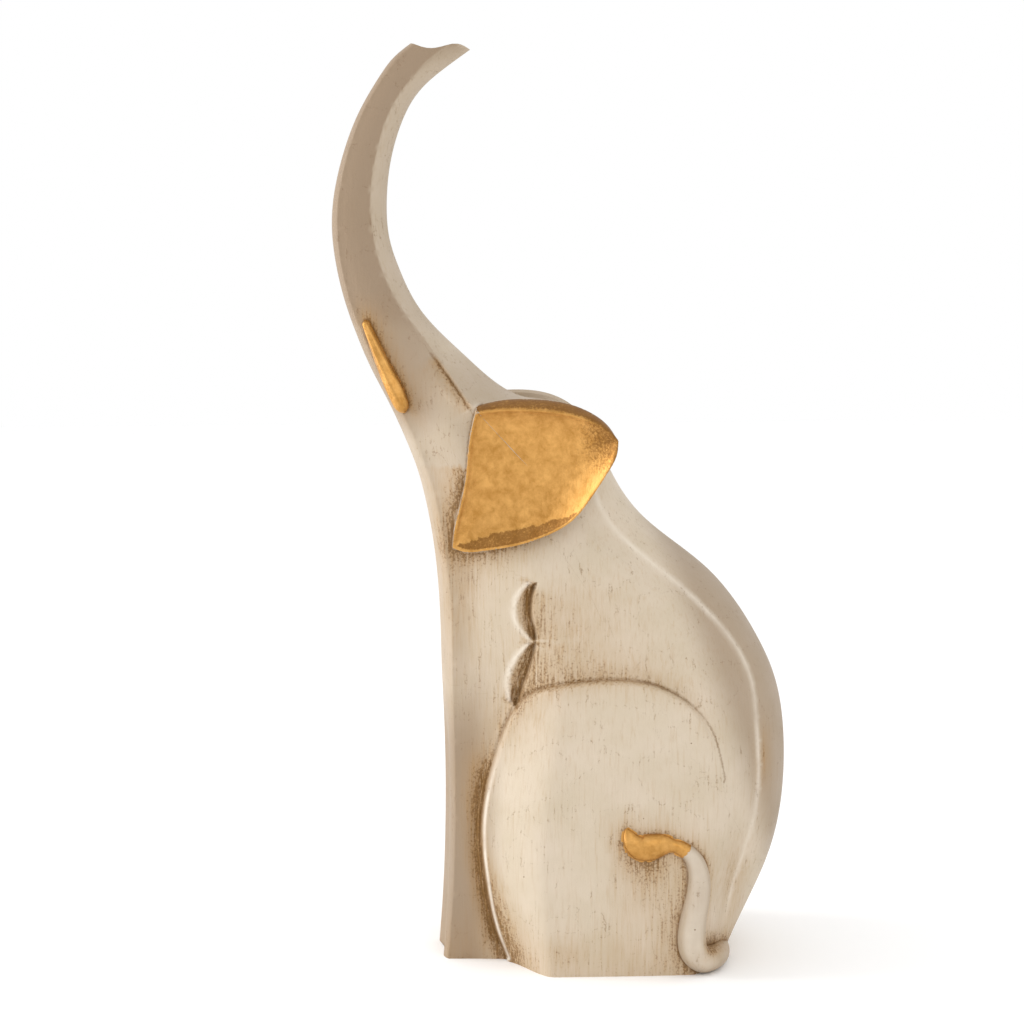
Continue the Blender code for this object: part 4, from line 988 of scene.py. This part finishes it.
    # Relief too fine for the mesh: grains of paint, brush marks, flaws and the leaf's wrinkles
    height = add("Math", {0: grain, 1: 0.05}, operation="MULTIPLY")
    wrinkle = add("Math", {0: patches, 1: gilt}, operation="MULTIPLY")
    for mark, depth in ((streak, 0.10), (flaw, -0.18), (wrinkle, 0.12)):
        height = add("Math", {0: mark, 1: depth, 2: height}, operation="MULTIPLY_ADD")
    relief = add("Bump", {"Height": height, "Distance": MM, "Strength": 0.9})
    shader = add("BsdfPrincipled", {"Base Color": tint, "Metallic": metal, "Roughness": rough,
                                    "Normal": relief, "IOR": 1.45})
    add("OutputMaterial", {"Surface": shader})
    return made


def matte(name, code, roughness):
    """A plain dull paint, for the floor."""
    made = bpy.data.materials.new(name)
    made.use_nodes = True
    shader = made.node_tree.nodes["Principled BSDF"]
    shader.inputs["Base Color"].default_value = (*linear(code), 1.0)
    shader.inputs["Roughness"].default_value = roughness
    return made


def length(name, description, default, low, high):
    """A size in metres, which the panel shows in the scene's own unit."""
    return bpy.props.FloatProperty(name=name, description=description, default=default, min=low, max=high,
                                   unit="LENGTH", subtype="DISTANCE", precision=5)


def colour(name, description, code):
    """A colour, stored linear, from its sRGB hex value."""
    return bpy.props.FloatVectorProperty(name=name, description=description, default=linear(code), size=3,
                                         min=0.0, max=1.0, subtype="COLOR")


def amount(name, description, default, low=0.0, high=1.0):
    """A plain number, such as a share or a brightness."""
    return bpy.props.FloatProperty(name=name, description=description, default=default, min=low, max=high)


def angle(name, description, degrees):
    """An angle, given in degrees and stored in radians."""
    return bpy.props.FloatProperty(name=name, description=description,
                                   default=float(np.radians(degrees)), subtype="ANGLE", unit="ROTATION")


class ElephantRelief(bpy.types.PropertyGroup):
    """Depths of the carving and sizes of the mesh."""

    haunch_step: length("Haunch step", "How far the haunch stands out of belly and leg", 0.0022, 0.0, 0.006)
    leg_groove: length("Leg groove", "Depth of the valley between front leg and haunch", 0.0016, 0.0, 0.005)
    fold_depth: length("Fold depth", "Depth of the two elbow folds", 0.0030, 0.0, 0.006)
    brow_depth: length("Brow depth", "Depth of the crease between trunk and brow", 0.0024, 0.0, 0.005)
    line_cut: length("Line cut", "Depth of the fine cuts along the carved lines", 0.0007, 0.0, 0.002)
    ear_bevel: length("Ear bevel", "Set-back of the ear's top edge", 0.0045, 0.001, 0.008)
    fine_edge: length("Fine edge", "Length of the mesh's edges on the carved lines", 0.00060, 0.0003, 0.004)
    coarse_edge: length("Coarse edge", "Length of the mesh's edges away from them", 0.0021, 0.001, 0.010)


class ElephantFinish(bpy.types.PropertyGroup):
    """Colours of the paint, some of them also used for painted shade, shadow and highlight, and how much of
    each was left.
    """

    ivory: colour("Ivory", "Base coat, cool places", "#CABBA7")
    ivory_warm: colour("Warm ivory", "Base coat, warm places", "#C2B39C")
    # the glaze colour also paints the shade on trunk, front leg and head
    glaze_and_shade: colour("Glaze", "Thin olive brown glaze on trunk and front leg", "#8E7860")
    # the ochre and the umber also paint the shadow under the ear and round the tail
    ochre: colour("Ochre", "Wash where it is thin", "#A0773A")
    umber: colour("Umber", "Wash where it settled", "#6A481B")
    # the wiped cream also paints the highlights on ridges, lips and the tail
    wiped_and_highlight: colour("Wiped cream", "Ridges wiped back to the pale coat", "#E4DACB")
    gold: colour("Gold", "Gold leaf paint", "#D3A05A")
    gold_deep: colour("Deep gold", "Gold leaf paint where it is thin", "#AE7C3A")
    # the colour of the painted shade on the ear's gold
    gold_in_shade: colour("Tarnished gold", "Gold over umber, near the tip of the ear", "#6B4317")
    gold_metallic: amount("Metal", "How metallic the gold is", 0.80)
    wash_and_shadow_strength: amount("Wash", "How strongly the ochre wash covers", 0.95)
    speckle: amount("Speckle", "How strongly the umber grains cover", 0.75)


class ElephantStage(bpy.types.PropertyGroup):
    """Camera, lights and floor of the studio."""

    lens: bpy.props.FloatProperty(
        name="Lens", description="Focal length on a 36 mm wide sensor", default=90.0, min=20.0,
        max=300.0, unit="CAMERA")
    distance: length("Camera distance", "From the camera to what it looks at", 0.990, 0.3, 5.0)
    azimuth: angle("Camera azimuth", "Turn round the figure from its left side", -5.8)
    elevation: angle("Camera elevation", "Angle above the horizon", 5.9)
    target: bpy.props.FloatVectorProperty(
        name="Target", description="The point in the middle of the view",
        default=(-0.0197, 0.0, 0.1716), size=3, subtype="TRANSLATION", unit="LENGTH")
    key_power: amount("Key light", "Soft light from the front, watts", 4.0, 0.0, 200.0)
    rim_power: amount("Rim light", "Strip light beside the trunk, watts", 9.0, 0.0, 200.0)
    surround: amount("Surround", "Brightness of the white studio around", 1.0, 0.0, 3.0)


class ELEPHANT_OT_casting(bpy.types.Operator):
    """Models the whole casting with its carving, paints it and puts it in place of the plain solid"""

    bl_idname = "elephant.casting"
    bl_label = "Cast and paint the elephant"

    def execute(self, context):
        relief = context.scene.elephant_relief
        finish = antiqued_resin(context.scene.elephant_finish)
        marker = [bpy.data.materials.new("marker_" + name) for name in ("body", "ears", "tusks", "tail")]
        skin, ear = Skin(relief), Ear()
        half = refined(skin, relief.fine_edge, relief.coarse_edge)
        body = solid("elephant_casting", *mirrored(*half), marker[0])
        parts = [solid("ears", *mirrored(*ear.shape(relief.ear_bevel)), marker[1]),
                 solid("tusks", *mirrored(*tusk_shape()), marker[2]),
                 solid("tail", *tail_shape(), marker[3])]
        casting = united(body, parts)
        self.finish_mesh(casting.data)
        paint(casting.data, skin, ear)
        faces = casting.data.polygons
        faces.foreach_set("material_index", np.zeros(len(faces), np.int32))
        casting.data.materials.clear()
        casting.data.materials.append(finish)
        for made in marker:
            bpy.data.materials.remove(made)
        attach(casting, "root")
        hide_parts("elephant")
        return {"FINISHED"}

    @staticmethod
    def finish_mesh(mesh):
        """Triangles only, smooth but for sharp edges such as the joints of ears and tusks."""
        work = bmesh.new()
        work.from_mesh(mesh)
        bmesh.ops.triangulate(work, faces=work.faces, quad_method="SHORT_EDGE", ngon_method="BEAUTY")
        work.to_mesh(mesh)
        work.free()
        mesh.shade_smooth()
        mesh.set_sharp_from_angle(angle=np.radians(SHARP_ANGLE))


class ELEPHANT_OT_stage(bpy.types.Operator):
    """Sets up the pale floor, the soft studio lights and the camera"""

    bl_idname = "elephant.stage"
    bl_label = "Set up the studio"

    def execute(self, context):
        stage = context.scene.elephant_stage
        self.floor()
        self.surround(context.scene, stage.surround)
        middle = Vector(((CAD_LOW.x + CAD_HIGH.x) / 2.0, 0.0, HEIGHT * 0.5))
        self.light("key", (0.25, -1.40, 0.85), middle, 1.1, 0.9, stage.key_power)
        self.light("rim", (-1.10, 0.16, 0.35), middle, 0.5, 1.0, stage.rim_power)
        self.camera(context.scene, stage)
        context.scene.view_settings.view_transform = "Standard"
        return {"FINISHED"}

    @staticmethod
    def floor():
        """A pale square of floor, wide enough to fill the lower part of the view."""
        half = 3.0
        corners = [(-half, -half, 0.0), (half, -half, 0.0), (half, half, 0.0), (-half, half, 0.0)]
        mesh = bpy.data.meshes.new("studio_floor")
        mesh.from_pydata(corners, [], [(0, 1, 2, 3)])
        mesh.materials.append(matte("pale_floor_paint", "#FFFFFF", 1.0))
        made = bpy.data.objects.new("studio_floor", mesh)
        bpy.context.scene.collection.objects.link(made)

    @staticmethod
    def surround(scene, strength):
        """A plain white world."""
        world = bpy.data.worlds.new("white_studio")
        world.use_nodes = True
        background = world.node_tree.nodes["Background"]
        background.inputs["Color"].default_value = (1.0, 1.0, 1.0, 1.0)
        background.inputs["Strength"].default_value = strength
        scene.world = world

    @staticmethod
    def light(name, place, towards, width, height, power):
        """A soft box of the given size that looks at a point."""
        lamp = bpy.data.lights.new(name, "AREA")
        lamp.shape = "RECTANGLE"
        lamp.size, lamp.size_y, lamp.energy = width, height, power
        made = bpy.data.objects.new(name, lamp)
        made.location = place
        made.rotation_euler = (towards - Vector(place)).to_track_quat("-Z", "Y").to_euler()
        bpy.context.scene.collection.objects.link(made)

    @staticmethod
    def camera(scene, stage):
        """Looks at the target from the azimuth and elevation, upright."""
        turned, raised = stage.azimuth, stage.elevation
        back = Vector((np.sin(turned) * np.cos(raised), -np.cos(turned) * np.cos(raised), np.sin(raised)))
        right = Vector((np.cos(turned), np.sin(turned), 0.0))
        up = back.cross(right)
        lens = bpy.data.cameras.new("camera")
        lens.lens, lens.sensor_width, lens.clip_end = stage.lens, 36.0, 20.0
        made = bpy.data.objects.new("camera", lens)
        turn = Matrix((right, up, back)).transposed().to_4x4()
        made.matrix_world = Matrix.Translation(Vector(stage.target) + back * stage.distance) @ turn
        scene.collection.objects.link(made)
        scene.camera = made


class ELEPHANT_PT_sidebar(bpy.types.Panel):
    """Lists the steps and the sizes that they use"""

    bl_idname = "ELEPHANT_PT_sidebar"
    bl_label = "Elephant figurine"
    bl_space_type = "VIEW_3D"
    bl_region_type = "UI"
    bl_category = "Elephant"

    def draw(self, context):
        """One box for the casting, one for its finish and one for the studio."""
        for operator, group in ((ELEPHANT_OT_casting, context.scene.elephant_relief),
                                (None, context.scene.elephant_finish),
                                (ELEPHANT_OT_stage, context.scene.elephant_stage)):
            box = self.layout.box()
            if operator:
                box.operator(operator.bl_idname)
            for name in group.bl_rna.properties.keys():
                if name not in ("rna_type", "name"):
                    box.prop(group, name)


GROUPS = {
    "elephant_relief": ElephantRelief,
    "elephant_finish": ElephantFinish,
    "elephant_stage": ElephantStage,
}
CLASSES = (*GROUPS.values(), ELEPHANT_OT_casting, ELEPHANT_OT_stage, ELEPHANT_PT_sidebar)


def register():
    """Adds the sizes, the steps and the panel to Blender."""
    for made in CLASSES:
        bpy.utils.register_class(made)
    for name, group in GROUPS.items():
        setattr(bpy.types.Scene, name, bpy.props.PointerProperty(type=group))


def unregister():
    """Takes them away again."""
    for name in GROUPS:
        delattr(bpy.types.Scene, name)
    for made in reversed(CLASSES):
        bpy.utils.unregister_class(made)


def main():
    """Runs the steps in order."""
    register()
    bpy.ops.elephant.casting()
    bpy.ops.elephant.stage()


if __name__ == "__main__":
    main()
